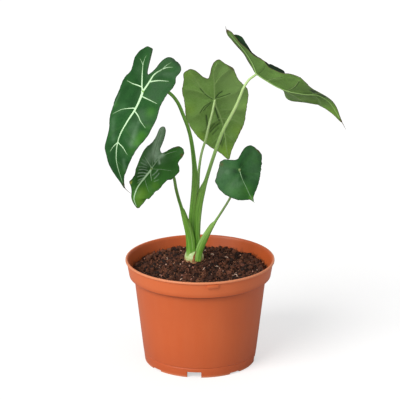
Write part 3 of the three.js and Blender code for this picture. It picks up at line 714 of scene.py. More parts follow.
            (0.9, 0.6, (6.5, 1.6), (17.7, 0.9), (28.5, 0.4)), (0.75, 0.6, (41.5, 13), (34, 4.2), (31.7, 0.4)),
            (0.55, 0.45, (45, 11.3), (37.7, 3)), (0.55, 0.4, (39, 13.6), (31, 6)),
            (1.1, 0.35, (35.6, 14.5), (20.3, 12.4)), (1.1, 0.5, (57, 5), (49, 1.6), (42.9, -0.6)),
            (0.6, 0.4, (60, 4.2), (50, -1)),
        ],
        "brown": [(1.4, 0.8, (-41, 23)), (1.2, 0.8, (-30, -26.5), (-38, -23.5)), (1.2, 0.7, (44, -20.8), (51, -16))],
    },
    "leaf_blade_right_tall": {
        "midrib": [
            (28, 21, 325), (41, 15, 317), (50, 10, 309), (57, 6, 301), (68, 2, 294.2), (79, -2, 288.8),
            (90, -5, 285.6), (104, -9, 284), (117, -13, 284), (129, -16, 277), (140, -19, 259),
        ],
        "nodeAt": 3,
        "face": (0.35, 0.72, 0.6),
        "upperPale": 0.95,
        "folds": [
            (-50, 4, 84), (-20, 4, 78), (0, 4, 72), (17, 1, 66), (25, -1, 50), (32, -3, 24), (42, -6, 15),
            (56, -10, 13), (64, -20, 11), (80, -26, 5), (102, -15, 0),
        ],
        "cup": 0,
        "crease": 3,
        "ripple": (0.6, 6),
        "outline": [
            (-10, 0.5), (-17, -3.5), (-26, -7.5), (-35, -11), (-45.8, -14.6), (-48, -21), (-43, -23.6), (-36, -21),
            (-30, -17), (-22, -16), (-14, -15.2), (-8, -18.4), (-1.3, -22.6), (4, -22.3), (9.7, -21), (18.1, -22.7),
            (26.9, -25.6), (33.6, -29.3), (43.8, -32), (51, -31.2), (57, -30.6), (60.4, -27), (62.4, -20), (66, -14),
            (72, -12.4), (78, -10.8), (87, -6), (95, -2.8), (104, 0), (94, 6), (86, 12.2), (74, 21), (62, 23.4),
            (51, 21.4), (43, 23), (37.4, 26.2), (32, 28.4), (27, 30.8), (22.4, 34), (18, 35.4), (13, 33), (8, 30.9),
            (-0.5, 29.4), (-6.5, 27.2), (-11, 22), (-20, 17), (-30, 20.5), (-38, 24), (-45, 22), (-46, 16), (-36, 11),
            (-26, 8), (-17, 4),
        ],
        "veins": [
            (2.1, 0.9, 1, (0, 0), (25, 0), (55, 0), (80, 0), (99, 0)),
            (1.5, 0.5, 0.9, (0, 0), (-14, 5.5), (-28, 12), (-41, 18)),
            (1.5, 0.5, 0.9, (0, 0), (-14, -6.5), (-28, -12.5), (-44, -20)),
            (1, 0.5, 0.8, (-1, 1), (-4.5, 7.2), (-9.6, 16.3)),
            (1.1, 0.5, 0.9, (11, 0), (14.4, 6.7), (19.9, 15.4), (24.8, 25.1)),
            (1.1, 0.5, 0.9, (12, 0), (18, -9), (26, -18)), (1.1, 0.5, 0.9, (34, 0), (42, 9), (50, 19)),
            (1.1, 0.5, 0.9, (35, 0), (43, -12), (50, -26)), (0.9, 0.4, 0.8, (60, 0), (67, 8), (74, 14)),
            (0.9, 0.4, 0.8, (60, 0), (66, -8), (70, -13)),
        ],
        "bright": [(10, 0.8, (92, 3)), (8, 0.3, (-40, 18)), (7, 0.4, (24, 24)), (6, 0.4, (60, 18))],
        "silvery": [(4, 0.5, (-34.7, 19.2), (-21.2, 11)), (3, 0.5, (40.6, 19.3), (52, 12)), (6, 0.3, (8, 16))],
        # painted shade along the far half, whose upper side faces away from the light
        "dark": [
            (7, 1, (-36, -20), (-22, -16), (-10, -15)), (8, 1, (4, -20), (20, -21), (34, -27)),
            (6, 1, (50, -29), (63, -22), (74, -13)), (4, 0.5, (66, 6)),
            (10, 1.25, (-46, 18), (-30, 17), (-12, 18), (0, 27), (10, 31), (20, 36)),
        ],
        "creases": [
            (0.9, 0.5, (52, -2), (62, -3), (71, -8)), (0.8, 0.4, (56, 6), (66, 4), (76, 4)),
            (0.6, 0.4, (13, -1.6), (19, -10), (27, -19)), (0.6, 0.4, (36, -1.4), (44, -12), (50, -24)),
            (0.7, 0.4, (-3, -2.4), (-15, -8), (-29, -14)), (0.5, 0.3, (2, -3), (4, -12), (4, -19)),
        ],
        "brown": [(3.4, 1, (-48, -21.5)), (3.4, 0.9, (105, 0)), (1.2, 0.7, (-40, -23.6), (-30, -18))],
        # painted shade on the underside, which faces away from the light
        "underDark": [
            (26, 0.56, (-45, 0), (-20, 0), (0, 6)), (30, 0.24, (30, 0), (90, 0)),
            (2.6, 0.55, (-40, -15), (-24, -10), (-12, -7)), (2.5, 0.4, (6, -12), (14, -16)),
            (3, 0.35, (36, -20), (44, -24)), (14, 0.42, (74, 6), (100, 0)),
            (3.4, 1.4, (63.5, -10), (66.5, -6.5), (72, -6)), (6, 0.4, (40, 22), (70, 20)),
        ],
        "threads": [[2, (98, 0.2), (103, 0), (107, 0.1), (112, 0.6)], [2, (-46, -19), (-48.5, -21.5), (-50, -26)]],
    },
    "leaf_blade_right_low": {
        "midrib": [(36, -30, 235), (37, -35, 225), (39, -40, 215), (42, -44, 206), (47, -47, 196), (52, -48, 186)],
        "nodeAt": 2,
        "face": (0.1, -0.85, 0.5),
        "folds": [(-30, -14, -18), (0, -14, -20), (35, -8, -8)],
        "cup": -0.2,
        "crease": 3,
        "ripple": (0.6, 7),
        "outline": [
            (-10.2, -1), (-11, -7), (-12, -12), (-11.4, -16.6), (-9, -18.6), (-5.8, -19.7), (-3.3, -21.3),
            (-1.6, -22.5), (1.3, -24), (4, -26.2), (9, -25.3), (15, -22.5), (21, -18.5), (26.4, -12.8), (30.2, -6),
            (31.6, -2.4), (35.2, 0), (30.4, 2.6), (26.2, 8.4), (21.5, 14), (14.6, 19.8), (9.6, 21.8), (5, 23.8),
            (0.8, 24.9), (-3, 26.6), (-7, 26.9), (-10.6, 27.8), (-16, 27.4), (-21, 22.7), (-24.5, 16.3), (-22.6, 10),
            (-17.8, 5.4), (-12.6, 1.8),
        ],
        "veins": [
            (1, 0.6, 0.4, (0, 0), (5, 0), (12, 0)), (0.6, 1, 0.25, (12, 0), (20, 0), (28, -0.3), (34, 0)),
            (0.35, 0.15, 0, (0, 0), (-8, 9), (-17, 17)), (0.35, 0.15, 0, (0, 0), (-5, -8), (-8, -15)),
            (0.35, 0.15, 0, (4, 0), (8, -10), (12, -19)), (0.35, 0.15, 0, (4, 0), (7, 10), (10, 17)),
        ],
        "bright": [(2.4, 1, (30, 0), (35, -0.5)), (4, 0.3, (22, 0.2)), (6, 0.3, (17, -14)), (5, 0.25, (-8, 20))],
        "olive": [(2.4, 1.3, (32, -0.5), (36, 0)), (8, 0.15, (22, -4))],
        "silvery": [
            (11, 0.17, (0, -14), (14, -14)), (12, 0.16, (-14, 18), (10, 15)), (4, 0.3, (-0.2, -12.4)),
            (4, 0.26, (9.7, 17.1)), (3, 0.24, (14.2, -7.4), (12.7, -2)),
        ],
        "dark": [(3.4, 0.9, (4.8, 1.6), (9, 2.2)), (3, 0.8, (0.2, -4.6)), (3.4, 0.7, (-3, 3)), (5, 0.2, (-16, 14))],
        "brown": [
            (1.6, 0.45, (-8.2, -16.4)), (0.9, 0.7, (-9.7, -18.4), (-2.3, -22.2)), (1, 0.5, (-17, 26), (-22, 21)),
        ],
        "pip": (0, 0, 0.6, 0.2),
        "threads": [[3, (32, -0.3), (35, 0.1), (36.6, 0.6)]],
    },
}
bladeBuild = {
    "spokes": 340,
    "rings": 58,
    "thickness": 0.75,
    "marginThickness": 0.3,
    "thinning": 12,  # mm from the margin
    "quilt": 0.9,  # how far the blade swells between its veins
    "quiltReach": 4.5,
    "ribHeight": 0.35,
    "marginWaver": 0.45,
    "threadRadius": (0.54, 0.12),
    "veinStep": 0.8,
    "upperRelief": 0.22,  # a vein's height as a share of its half width
    "underRelief": 0.5,
    "strokes": ("bright", "olive", "silvery", "dark", "underDark", "brown", "blemish"),
}
leafColours = {
    "upperDeep": srgb(16, 40, 18),
    "upperDark": srgb(25, 73, 28),
    "upperLight": srgb(40, 91, 40),
    "upperBright": srgb(62, 122, 34),
    "upperOlive": srgb(88, 132, 38),
    # colour of the painted sheen
    "sheenTint": srgb(146, 182, 146),
    # colour of the painted glints on the ribs
    "ribGlint": srgb(196, 226, 196),
    "veinPale": srgb(212, 246, 202),
    "veinGreen": srgb(84, 136, 78),
    "underDark": srgb(96, 138, 54),
    "underLight": srgb(118, 160, 76),
    "underBright": srgb(134, 178, 58),
    "underSheenTint": srgb(156, 194, 116),
    "underVein": srgb(156, 192, 114),
    # colour of the painted shade in creases and shadowed undersides
    "groove": srgb(40, 66, 30),
    "rim": srgb(34, 52, 28),
    "underRim": srgb(96, 66, 52),
    "brown": srgb(104, 66, 42),
    "blemish": srgb(190, 190, 90),
}


def bladeSurface(blade):
    # the point in space for (along, across), lifted off the blade along its normal
    points = np.array(blade["midrib"], float)
    length = lengthAlong(points)
    midrib = through(np.column_stack([length - length[blade["nodeAt"]], points]))  # zero at the vein node
    fold = through(blade["folds"])
    face = np.array(blade["face"])
    rippleHeight, rippleCount = blade["ripple"]

    def at(flat, lift):
        along, across = flat[:, 0], flat[:, 1]
        tangent = midrib(along + 0.5) - midrib(along - 0.5)
        tangent /= np.linalg.norm(tangent, axis=1, keepdims=True)
        normal = face - (tangent @ face)[:, None] * tangent
        normal /= np.linalg.norm(normal, axis=1, keepdims=True)
        side = np.cross(normal, tangent)
        angle = np.radians(np.where(across < 0, fold(along)[:, 0], fold(along)[:, 1]))
        risen = np.sqrt(across**2 + blade["crease"] ** 2) - blade["crease"]
        reach = np.minimum(np.hypot(along, across) / 40, 1.2)
        wave = rippleHeight * reach**3 * np.sin(rippleCount * np.arctan2(across, along))
        height = risen * np.sin(angle) + blade["cup"] * across**2 / 100 + wave
        tilt = angle * np.tanh(across / 1.5)
        off = side * (across * np.cos(angle) - lift * np.sin(tilt))[:, None]
        return midrib(along) + off + normal * (height + lift * np.cos(tilt))[:, None]

    return at


def stroked(flat, strokes):
    # how strongly strokes of colour cover each flat point
    found = np.zeros(len(flat))
    for reach, strength, *points in strokes:
        line = rounded(points, perSpan=6) if len(points) > 1 else np.array(points * 2, float)
        found = np.maximum(found, strength * np.exp(-((distanceTo(line, flat) / reach) ** 2)))
    return found


def nearestOf(lines, flat):
    return np.min([distanceTo(rounded(line, perSpan=6), flat) for line in lines], axis=0)


def makeBlade(name, blade):
    at = bladeSurface(blade)
    count, ringCount = bladeBuild["spokes"], bladeBuild["rings"]
    edge = spread(rounded(blade["outline"], closed=True), np.arange(count) / count)
    outward = edge / np.linalg.norm(edge, axis=1, keepdims=True)
    for k in range(count):
        edge[k] += outward[k] * bladeBuild["marginWaver"] * noise.noise(Vector((*edge[k] * 0.35, len(name))))
    margin = np.vstack([edge, edge[:1]])
    veinLines = [vein[3:] for vein in blade["veins"]]

    def lifted(flat):
        # the quilting of the blade between its veins, with ribs and creases
        gap = nearestOf(veinLines, flat)
        swell = bladeBuild["quilt"] * (1 - np.exp(-((gap / bladeBuild["quiltReach"]) ** 2)) - 0.45)
        swell *= np.clip(distanceTo(margin, flat) / 5, 0.25, 1)
        swell += bladeBuild["ribHeight"] * stroked(flat, blade.get("ribs", []))
        for reach, depth, *line in blade.get("creases", []):
            swell += depth * np.exp(-((distanceTo(rounded(line, perSpan=6), flat) / reach) ** 2))
        return gap, swell

    def halfThick(flat):
        # the blade thins towards its margin
        thin = np.clip(1 - distanceTo(margin, flat) / bladeBuild["thinning"], 0, 1) ** 2
        return (bladeBuild["thickness"] * (1 - thin) + bladeBuild["marginThickness"] * thin) / 2

    def marks(flat, gap):
        # the creases' reach for their painted shade
        creases = [(reach * 1.1, 1, *line) for reach, _, *line in blade.get("creases", [])]
        return {
            "veinGap": gap,
            "rimGap": distanceTo(margin, flat),
            "creased": stroked(flat, creases),
            "ribbed": stroked(flat, blade.get("ribs", [])),
            **{key: stroked(flat, blade.get(key, [])) for key in bladeBuild["strokes"]},
        }

    shares = 1 - (1 - (np.arange(ringCount) + 1) / ringCount) ** 1.5
    flats = [np.zeros((1, 2))] + [edge * share for share in shares]
    sizes = [len(flat) for flat in flats]
    together = np.vstack(flats)
    gap, swell = lifted(together)
    half = halfThick(together)
    cuts = np.cumsum(sizes)[:-1]
    upper = np.split(at(together, swell + half), cuts)
    lower = np.split(at(together, swell - half), cuts)
    every = marks(together, gap)
    both = {key: np.concatenate([*np.split(v, cuts), *np.split(v, cuts)[::-1]]) for key, v in every.items()}
    bands = [0] * ringCount + [2] + [1] * ringCount
    shells = [shell([*upper, *lower[::-1]], bands, **both)]

    def vein(width, endWidth, pale, points, side):
        # a low ridge along a vein, sunk into the blade at both edges
        line = rounded(points)
        steps = max(6, int(lengthAlong(line)[-1] / bladeBuild["veinStep"]))
        share = np.linspace(0, 1, steps)
        line = spread(line, share)
        ahead = directions(line)
        beside = np.stack([-ahead[:, 1], ahead[:, 0]], 1)
        wide = (width + (endWidth - width) * share**0.8) / 2
        offsets = np.array([-1, -0.75, -0.4, 0, 0.4, 0.75, 1, 0.8, -0.8])
        crown = np.array([-0.1, 0.4, 0.82, 1, 0.82, 0.4, -0.1, -1, -1])
        flat = (line[:, None] + beside[:, None] * (wide[:, None] * offsets)[..., None]).reshape(-1, 2)
        lift = lifted(flat)[1]
        raised = (bladeBuild["upperRelief"] * wide + 0.04) if side > 0 else bladeBuild["underRelief"] * wide
        relief = np.where(crown > 0, crown * raised[:, None], crown * 0.2).reshape(-1)
        ring = np.split(at(flat, lift + side * (halfThick(flat) + relief)), steps)
        shown = max(pale, blade.get("upperPale", 0)) if side > 0 else pale
        fade = np.clip(1 - shown * (1 - 0.6 * share**3), 0, 1)
        return shell(capped(ring), 3 if side > 0 else 4, fade=roundRings(fade, len(offsets)), rimGap=9.0)

    for width, endWidth, pale, *points in blade["veins"]:
        shells.append(vein(width, endWidth, pale, points, 1))
        shells.append(vein(width * 0.9, endWidth * 0.9, pale, points, -1))
    for band, *thread in blade.get("threads", []):
        line = rounded(thread, perSpan=8)
        sizes = np.linspace(*bladeBuild["threadRadius"], len(line))
        shells.append(sweep(at(line, np.zeros(len(line))), sizes, sides=8, band=band, fade=0.7))
    if "pip" in blade:
        along, across, size, fade = blade["pip"]  # the pale spot over the petiole
        turn = np.arange(16) * math.tau / 16
        rings = []
        for share, rise in ((0.05, 0.42), (0.5, 0.38), (0.85, 0.22), (1, -0.1)):
            flat = np.stack([along + size * share * np.cos(turn), across + size * share * np.sin(turn)], 1)
            rings.append(at(flat, lifted(flat)[1] + bladeBuild["thickness"] / 2 + rise))
        shells.append(shell(capped(rings), 3, rimGap=9.0, fade=fade))
    makePiece(name.replace("leaf_blade", "blade"), shells, leafMaterials, name)
    print(name, sum(len(s["faces"]) for s in shells), "faces")


def upperMaterial():
    material, tree, shader = newMaterial("velvetUpper", {"Specular IOR Level": 0.14})
    spot = place(tree)
    base = cloudy(tree, spot, 110, 0.22, leafColours["upperDark"], leafColours["upperLight"])
    patchy = cloudy(tree, spot, 260, 0.35)["Mask"]
    net = setGroup(tree, veinNet, {"Vector": spot, "Scale": 420, "Line": 0.12})
    colour = layered(
        tree, base["Colour"],
        # painted light where light falls on the blade
        (mark(tree, "bright"), leafColours["upperBright"]),
        (mark(tree, "olive"), leafColours["upperOlive"]),
        # painted sheen of the velvet, in patches
        (times(tree, mark(tree, "silvery"), ramp(tree, patchy, 0, 1, 0.35, 0.8)), leafColours["sheenTint"]),
        (ramp(tree, mark(tree, "veinGap"), 2.6, 0.5, 0.0, 0.14), leafColours["upperBright"]),
        (times(tree, net["Line"], 0.09), leafColours["veinGreen"]),
        # painted shade where the blade is shadowed or turns from the light
        (times(tree, mark(tree, "dark"), 0.75), leafColours["upperDeep"]),
        # painted glints on the puckered ribs and the finger lobe
        (times(tree, mark(tree, "ribbed"), ramp(tree, patchy, 0, 1, 0.5, 1)), leafColours["ribGlint"]),
        (mark(tree, "blemish"), leafColours["blemish"]),
        (mark(tree, "brown"), leafColours["brown"]),
        (ramp(tree, mark(tree, "rimGap"), 0.9, 0.25, 0, 0.8), leafColours["rim"]),
    )
    finishSurface(tree, shader, colour, ramp(tree, base["Mask"], 0, 1, 0.42, 0.54), (net["Height"], 0.2, 0.1))
    return material


def underMaterial():
    material, tree, shader = newMaterial("oliveUnderside", {"Specular IOR Level": 0.3})
    spot = place(tree)
    base = cloudy(tree, spot, 70, 0.25, leafColours["underDark"], leafColours["underLight"])
    net = setGroup(tree, veinNet, {"Vector": spot, "Scale": 420, "Line": 0.15})
    # painted shade in the creases and where the underside lies in shadow
    shaded = maths(tree, "MAXIMUM", times(tree, mark(tree, "creased"), 0.85), mark(tree, "underDark"))
    colour = layered(
        tree, base["Colour"],
        # painted light where light falls on the underside
        (mark(tree, "bright"), leafColours["underBright"]),
        # painted sheen on the underside
        (times(tree, mark(tree, "silvery"), 0.6), leafColours["underSheenTint"]),
        (ramp(tree, mark(tree, "veinGap"), 1.8, 0.4, 0.0, 0.22), leafColours["underVein"]),
        (times(tree, net["Line"], 0.2), leafColours["underVein"]),
        (shaded, leafColours["groove"]),
        (times(tree, mark(tree, "brown"), 0.8), leafColours["brown"]),
        (ramp(tree, mark(tree, "rimGap"), 0.8, 0.2, 0, 0.8), leafColours["underRim"]),
    )
    finishSurface(tree, shader, colour, ramp(tree, base["Mask"], 0, 1, 0.46, 0.58), (net["Line"], 0.4, 0.1))
    return material


def rimMaterial():
    material, tree, shader = newMaterial("leafMargin", {"Roughness": 0.6})
    base = cloudy(tree, place(tree), 120, 0.2, leafColours["rim"], leafColours["underRim"])
    finishSurface(tree, shader, base["Colour"])
    return material


def veinMaterial(name, pale, green):
    material, tree, shader = newMaterial(name, {"Roughness": 0.5, "Specular IOR Level": 0.4})
    tint = cloudy(tree, place(tree), 180, 0.3, (0.8, 0.85, 0.75, 1))["Colour"]
    colour = mixColour(tree, mark(tree, "fade"), pale, green)
    finishSurface(tree, shader, mixColour(tree, 0.6, colour, tint, "MULTIPLY"))
    return material


# a blade's upper side, underside, margin, upper veins and lower veins, in the order that its shells number them
leafMaterials = [
    upperMaterial(),
    underMaterial(),
    rimMaterial(),
    veinMaterial("paleVein", leafColours["veinPale"], leafColours["upperLight"]),
    veinMaterial("underVein", leafColours["underVein"], leafColours["underLight"]),
]
for bladeName, bladeShape in blades.items():
    makeBlade(bladeName, bladeShape)


# ---- petioles ----

# halfWidths are (share of the length, half width, half depth). A seam is the free edge of the sheath on the
# petiole's skin: (share, angle in degrees from the plant's left, going round by the back). A wing is where that edge
# stands off the petiole, up to the sheath's shoulder: [angle, then (share, how far it stands off), ...]. The pale
# pair is where along the petiole its green starts and ends turning pale, blanch is how pale its foot is, and lean
# how grey its upper part.
petioles = {
    "petiole_left_tall": {
        "path": [
            (-7, 8, 110), (-8.2, 8.5, 134), (-8.2, 9, 148), (-6.8, 9, 164), (-5.4, 8.5, 181), (-5.2, 7, 198),
            (-6.5, 5, 215), (-8.9, 1, 234), (-11.8, -2, 247), (-16.2, -6, 260.2), (-22.2, -10, 275.5),
            (-29.4, -14, 285.6), (-39.3, -21, 292.3), (-49, -30, 294.5), (-56, -38.5, 293.5),
        ],
        "halfWidths": [
            (0, 3.2, 2.6), (0.12, 3.3, 2.7), (0.3, 3.4, 2.7), (0.37, 3.1, 2.5), (0.44, 2.5, 2.2), (0.52, 2.1, 2),
            (0.7, 1.85, 1.8), (1, 1.5, 1.5),
        ],
        "seams": [[(0.06, 215), (0.2, 225), (0.32, 218), (0.42, 200)]],
        "pale": (0.95, 1.3),
        "blanch": 0.75,
    },
    "petiole_right_tall": {
        "path": [
            (-3, 8, 110), (-2.9, 8, 134), (-2.2, 8, 148), (-0.3, 7.5, 164), (3.3, 7, 180), (7.2, 6, 193.5),
            (11, 5, 206.5), (14.7, 4, 218.5), (18.6, 3, 231), (24.5, 2, 246), (30.6, 1, 258), (36.2, 0, 269.5),
            (40, 0, 279), (43.7, 1, 288), (48.8, 2.5, 295.5), (53, 3.6, 298.6), (56.4, 5.4, 300.6),
        ],
        "halfWidths": [
            (0, 3.2, 2.6), (0.12, 3.3, 2.7), (0.27, 3.2, 2.6), (0.34, 2.8, 2.4), (0.41, 2, 2), (0.6, 1.85, 1.85),
            (1, 1.2, 1.2),
        ],
        "seams": [[(0.05, 235), (0.16, 240), (0.26, 225)]],
        "wings": [[348, (0.06, 0.4), (0.2, 0.8), (0.33, 1.3), (0.36, 0.9), (0.385, 0)]],
        "pale": (0.3, 0.8),
        "blanch": 0.75,
    },
    "petiole_back": {
        "path": [
            (-4, 13, 110), (-3.4, 16, 139), (-2.6, 20, 160), (-1.8, 25, 179), (-0.8, 31, 195.5), (1.8, 37, 210),
            (5.7, 43, 222), (9, 50, 234.5), (12.6, 57, 247), (15.6, 64.5, 260),
        ],
        "halfWidths": [(0, 2.8, 2.2), (0.2, 2.2, 1.8), (0.45, 1.5, 1.5), (1, 1.2, 1.2)],
        "seams": [[(0.05, 210), (0.2, 220), (0.3, 200)]],
        "pale": (0.35, 0.8),
        "blanch": 0.7,
    },
    "petiole_left_low": {
        "path": [
            (-9.5, 4, 108), (-11.6, 3.4, 132), (-15.2, 0, 148.5), (-18.7, -4, 163.5), (-21.8, -8, 175.5),
            (-24.3, -13, 188), (-26, -18, 199.5), (-29.8, -23, 209), (-36, -29, 215), (-43, -34.5, 217),
            (-48.5, -40.5, 215.5),
        ],
        "halfWidths": [
            (0, 4.5, 3.2), (0.05, 4.1, 3), (0.15, 3.3, 2.5), (0.3, 2.6, 2.2), (0.38, 2.1, 2), (0.44, 1.75, 1.7),
            (0.7, 1.55, 1.5), (1, 1.2, 1.2),
        ],
        "seams": [[(0.08, 232), (0.16, 226), (0.24, 218), (0.31, 205)]],
        "wings": [[188, (0, 1.2), (0.12, 2), (0.28, 1.7), (0.36, 1.3), (0.4, 0.9), (0.425, 0)]],
        "pale": (0.8, 1.3),
        "blanch": 0.7,
        "lean": 0.35,
    },
    "petiole_right_low": {
        "path": [
            (-2.2, -1, 105.5), (-1, -1.2, 115), (3, -2.4, 126.5), (8.8, -5, 138.5), (15.9, -9, 151.5),
            (22.6, -14, 164), (29.3, -20, 177.5), (34.5, -27, 191), (38, -34, 204), (39.2, -41, 215.5),
        ],
        "halfWidths": [
            (0, 3.3, 1.9), (0.1, 3.7, 2.3), (0.2, 3.4, 2.2), (0.3, 2.5, 2), (0.37, 1.7, 1.6), (0.42, 1.3, 1.3),
            (1, 1.2, 1.2),
        ],
        "seams": [[(0.04, 318), (0.14, 324), (0.26, 334), (0.36, 350)]],
        "seamSpread": 2.6,
        "wings": [[350, (0.05, 0.3), (0.25, 0.7), (0.35, 1.1), (0.375, 0.7), (0.392, 0)]],
        "pale": (0.05, 1.3),
        "blanch": 0.1,
        "lean": 0.85,
    },
}
petioleBuild = {
    "sides": 72,
    "steps": 220,
    "seamHeight": 0.3,
    "seamWidth": 9,  # degrees
    "wingWidth": 26,
    "ribs": 9,
    "ribHeight": 0.012,  # these three are shares of the petiole's own width
    "furrow": 0.14,
    "knobble": 0.02,
    "furrowTurn": 200,
    "furrowWidth": 26,
}
petioleColours = {
    "deep": srgb(80, 142, 34),
    "fresh": srgb(140, 196, 78),
    "lean": srgb(118, 144, 90),
    "pale": srgb(186, 216, 140),
    "sheath": srgb(182, 216, 138),
    "margin": srgb(138, 96, 56),
    "base": srgb(184, 212, 128),
    "speck": srgb(132, 66, 44),
}


def degreesFrom(angle, middle):
    return (angle - middle + 180) % 360 - 180


def makePetiole(name, petiole):
    sides, steps = petioleBuild["sides"], petioleBuild["steps"]
    share = np.linspace(0, 1, steps)
    line = spread(rounded(petiole["path"]), share)
    ahead = directions(line)
    across = np.cross(ahead, [0, 1, 0])
    across /= np.linalg.norm(across, axis=1, keepdims=True)
    deep = np.cross(across, ahead)
    sizes = through(petiole["halfWidths"])(share)
    angle = np.degrees(np.arange(sides) * math.tau / sides) + 90  # the seam of the pattern is at the back
    turn = np.radians(angle)
    rings, seamMark, wingMark = [], [], []
    for k in range(steps):
        reach = np.ones(sides)
        onSeam, onWing = np.zeros(sides), np.zeros(sides)
        for middle, *stations in petiole.get("wings", []):
            height = np.interp(share[k], *zip(*stations), left=0, right=0)
            off = np.abs(degreesFrom(angle, middle)) / petioleBuild["wingWidth"]
            reach += height * np.exp(-(off**2)) / sizes[k].mean()
            onWing = np.maximum(onWing, min(1, 1.4 * height) * np.exp(-((2.2 * off) ** 2)))
        for seam in petiole["seams"]:
            first, last = seam[0][0], seam[-1][0]
            fade = np.clip((share[k] - first) / 0.03 + 1, 0, 1) * np.clip((last - share[k]) / 0.04, 0, 1)
            if fade <= 0:
                continue
            off = degreesFrom(angle, through(seam)(share[k])[0, 0])
            width = petioleBuild["seamWidth"]
            lip = np.where(off > 0, np.exp(-((off / width) ** 2)), np.exp(-((off / (3.5 * width)) ** 2)))
            reach += fade * petioleBuild["seamHeight"] * lip / sizes[k].mean()
            onSeam = np.maximum(onSeam, fade * np.exp(-((off / (petiole.get("seamSpread", 1.1) * width)) ** 2)))
        # the free petiole has a shallow furrow down its upper side and faint ribs
        reach += petioleBuild["ribHeight"] * np.sin(petioleBuild["ribs"] * turn + 2.1) * min(1, share[k] * 4)
        furrow = petioleBuild["furrow"] * np.clip(share[k] * 2.2 - 0.5, 0, 1)
        off = degreesFrom(angle, petioleBuild["furrowTurn"]) / petioleBuild["furrowWidth"]
        reach -= furrow * np.exp(-(off**2))
        knobble = petioleBuild["knobble"] * noise.noise(Vector((share[k] * 9, len(name), 0)))
        wide, thick = sizes[k] * (1 + knobble)
        ring = np.outer(wide * np.cos(turn) * reach, across[k]) + np.outer(thick * np.sin(turn) * reach, deep[k])
        rings.append(line[k] + ring)
        seamMark.append(onSeam)
        wingMark.append(onWing)
    ends = [line[:1] - 0.5 * ahead[:1], line[-1:] + 0.3 * ahead[-1:]]
    low, high = petiole["pale"]
    paleness = np.clip((share - low) / (high - low), 0, 1)
    lean = petiole.get("lean", 0) * np.clip((share - 0.4) / 0.16, 0, 1)
    made = shell(
        [ends[0], *rings, ends[1]],
        rise=roundRings(share, sides),
        around=np.concatenate([[0], np.tile(np.arange(sides) / sides, steps), [0]]),
        paleness=roundRings(paleness, sides),
        lean=roundRings(lean, sides),
        blanch=petiole["blanch"],
        seam=np.concatenate([[0], *seamMark, [0]]),
        wing=np.concatenate([[0], *wingMark, [0]]),
    )
    makePiece(name.replace("petiole", "stalk"), [made], [petioleMaterial], name)


def greenStemMaterial():
    material, tree, shader = newMaterial("waxyPetiole", {"Specular IOR Level": 0.5})
    spot = place(tree)
    rise, around = mark(tree, "rise"), mark(tree, "around")
    onSkin = addNode(tree, "ShaderNodeCombineXYZ", {0: times(tree, around, 22.0), 1: times(tree, rise, 5.0)})
    streak = cloudy(tree, onSkin.outputs[0], 1, 0.15, petioleColours["deep"], petioleColours["fresh"])
    seam = times(tree, mark(tree, "seam"), maths(tree, "ADD", 0.18, times(tree, streak["Mask"], 0.34)))
    blotch = cloudy(tree, spot, 240, 0.2)["Mask"]
    edged = times(tree, mark(tree, "wing"), ramp(tree, blotch, 0, 1, 0.1, 0.75))
    z = addNode(tree, "ShaderNodeSeparateXYZ", {0: spot}).outputs["Z"]
    low = times(tree, ramp(tree, z, 0.118, 0.1075), mark(tree, "blanch"))
    soiled = setGroup(tree, dust, {"Level": 0.107, "Fade": 0.003, "Scale": 700})["Mask"]
    colour = layered(
        tree, streak["Colour"],
        (mark(tree, "paleness"), petioleColours["pale"]),
        (mark(tree, "lean"), petioleColours["lean"]),
        (seam, petioleColours["sheath"]),
        (times(tree, edged, ramp(tree, rise, 0.16, 0.34)), petioleColours["margin"]),
        (low, petioleColours["base"]),
        (times(tree, soiled, 0.7), petioleColours["speck"]),
    )
    skin = setGroup(tree, grain, {"Vector": place(tree, (1, 1, 0.2)), "Scale": 1400, "Coarse": 1})["Height"]
    finishSurface(tree, shader, colour, ramp(tree, streak["Mask"], 0, 1, 0.36, 0.46), (skin, 0.3, 0.06))
    return material


petioleMaterial = greenStemMaterial()
for petioleName, petioleShape in petioles.items():
    makePetiole(petioleName, petioleShape)
print("petioles ready")


# ---- corm, dried sheath and roots ----

corm = {
    "x": -6,
    "y": 8,
    "profile": [  # (height, radius)
        (83, 0.1), (84, 4.5), (87.5, 8), (93, 9.7), (100, 10.1), (106, 9.9), (111, 9), (114.5, 6.5), (116, 1),
    ],
    "sides": 120,
    "steps": 150,
    "scars": [88, 91.5, 95, 98.6, 102.4, 105.8, 108.6],  # heights of the old leaves' rings
    "scarHeight": 0.28,
    "scarWidth": 0.35,
    "roughness": 0.22,
    "skin": srgb(216, 232, 182),
    "skinGreen": srgb(176, 208, 126),
    "husk": srgb(134, 70, 42),
    "huskPale": srgb(196, 132, 86),
}
driedSheath = {
    "turn": -7,
    "slant": 16,  # degrees further round at its top
    "bottomZ": 105.5,
    "topZ": 117,
    "halfAngle": 6.5,
    "thickness": 0.5,
    "curl": 0.5,
    "crinkle": 0.22,
    "rows": 26,
    "columns": 15,
    "colour": srgb(196, 134, 74),
    "dark": srgb(118, 66, 36),
}


def cormRadius(z):
    return through(corm["profile"])(z)[:, 0]


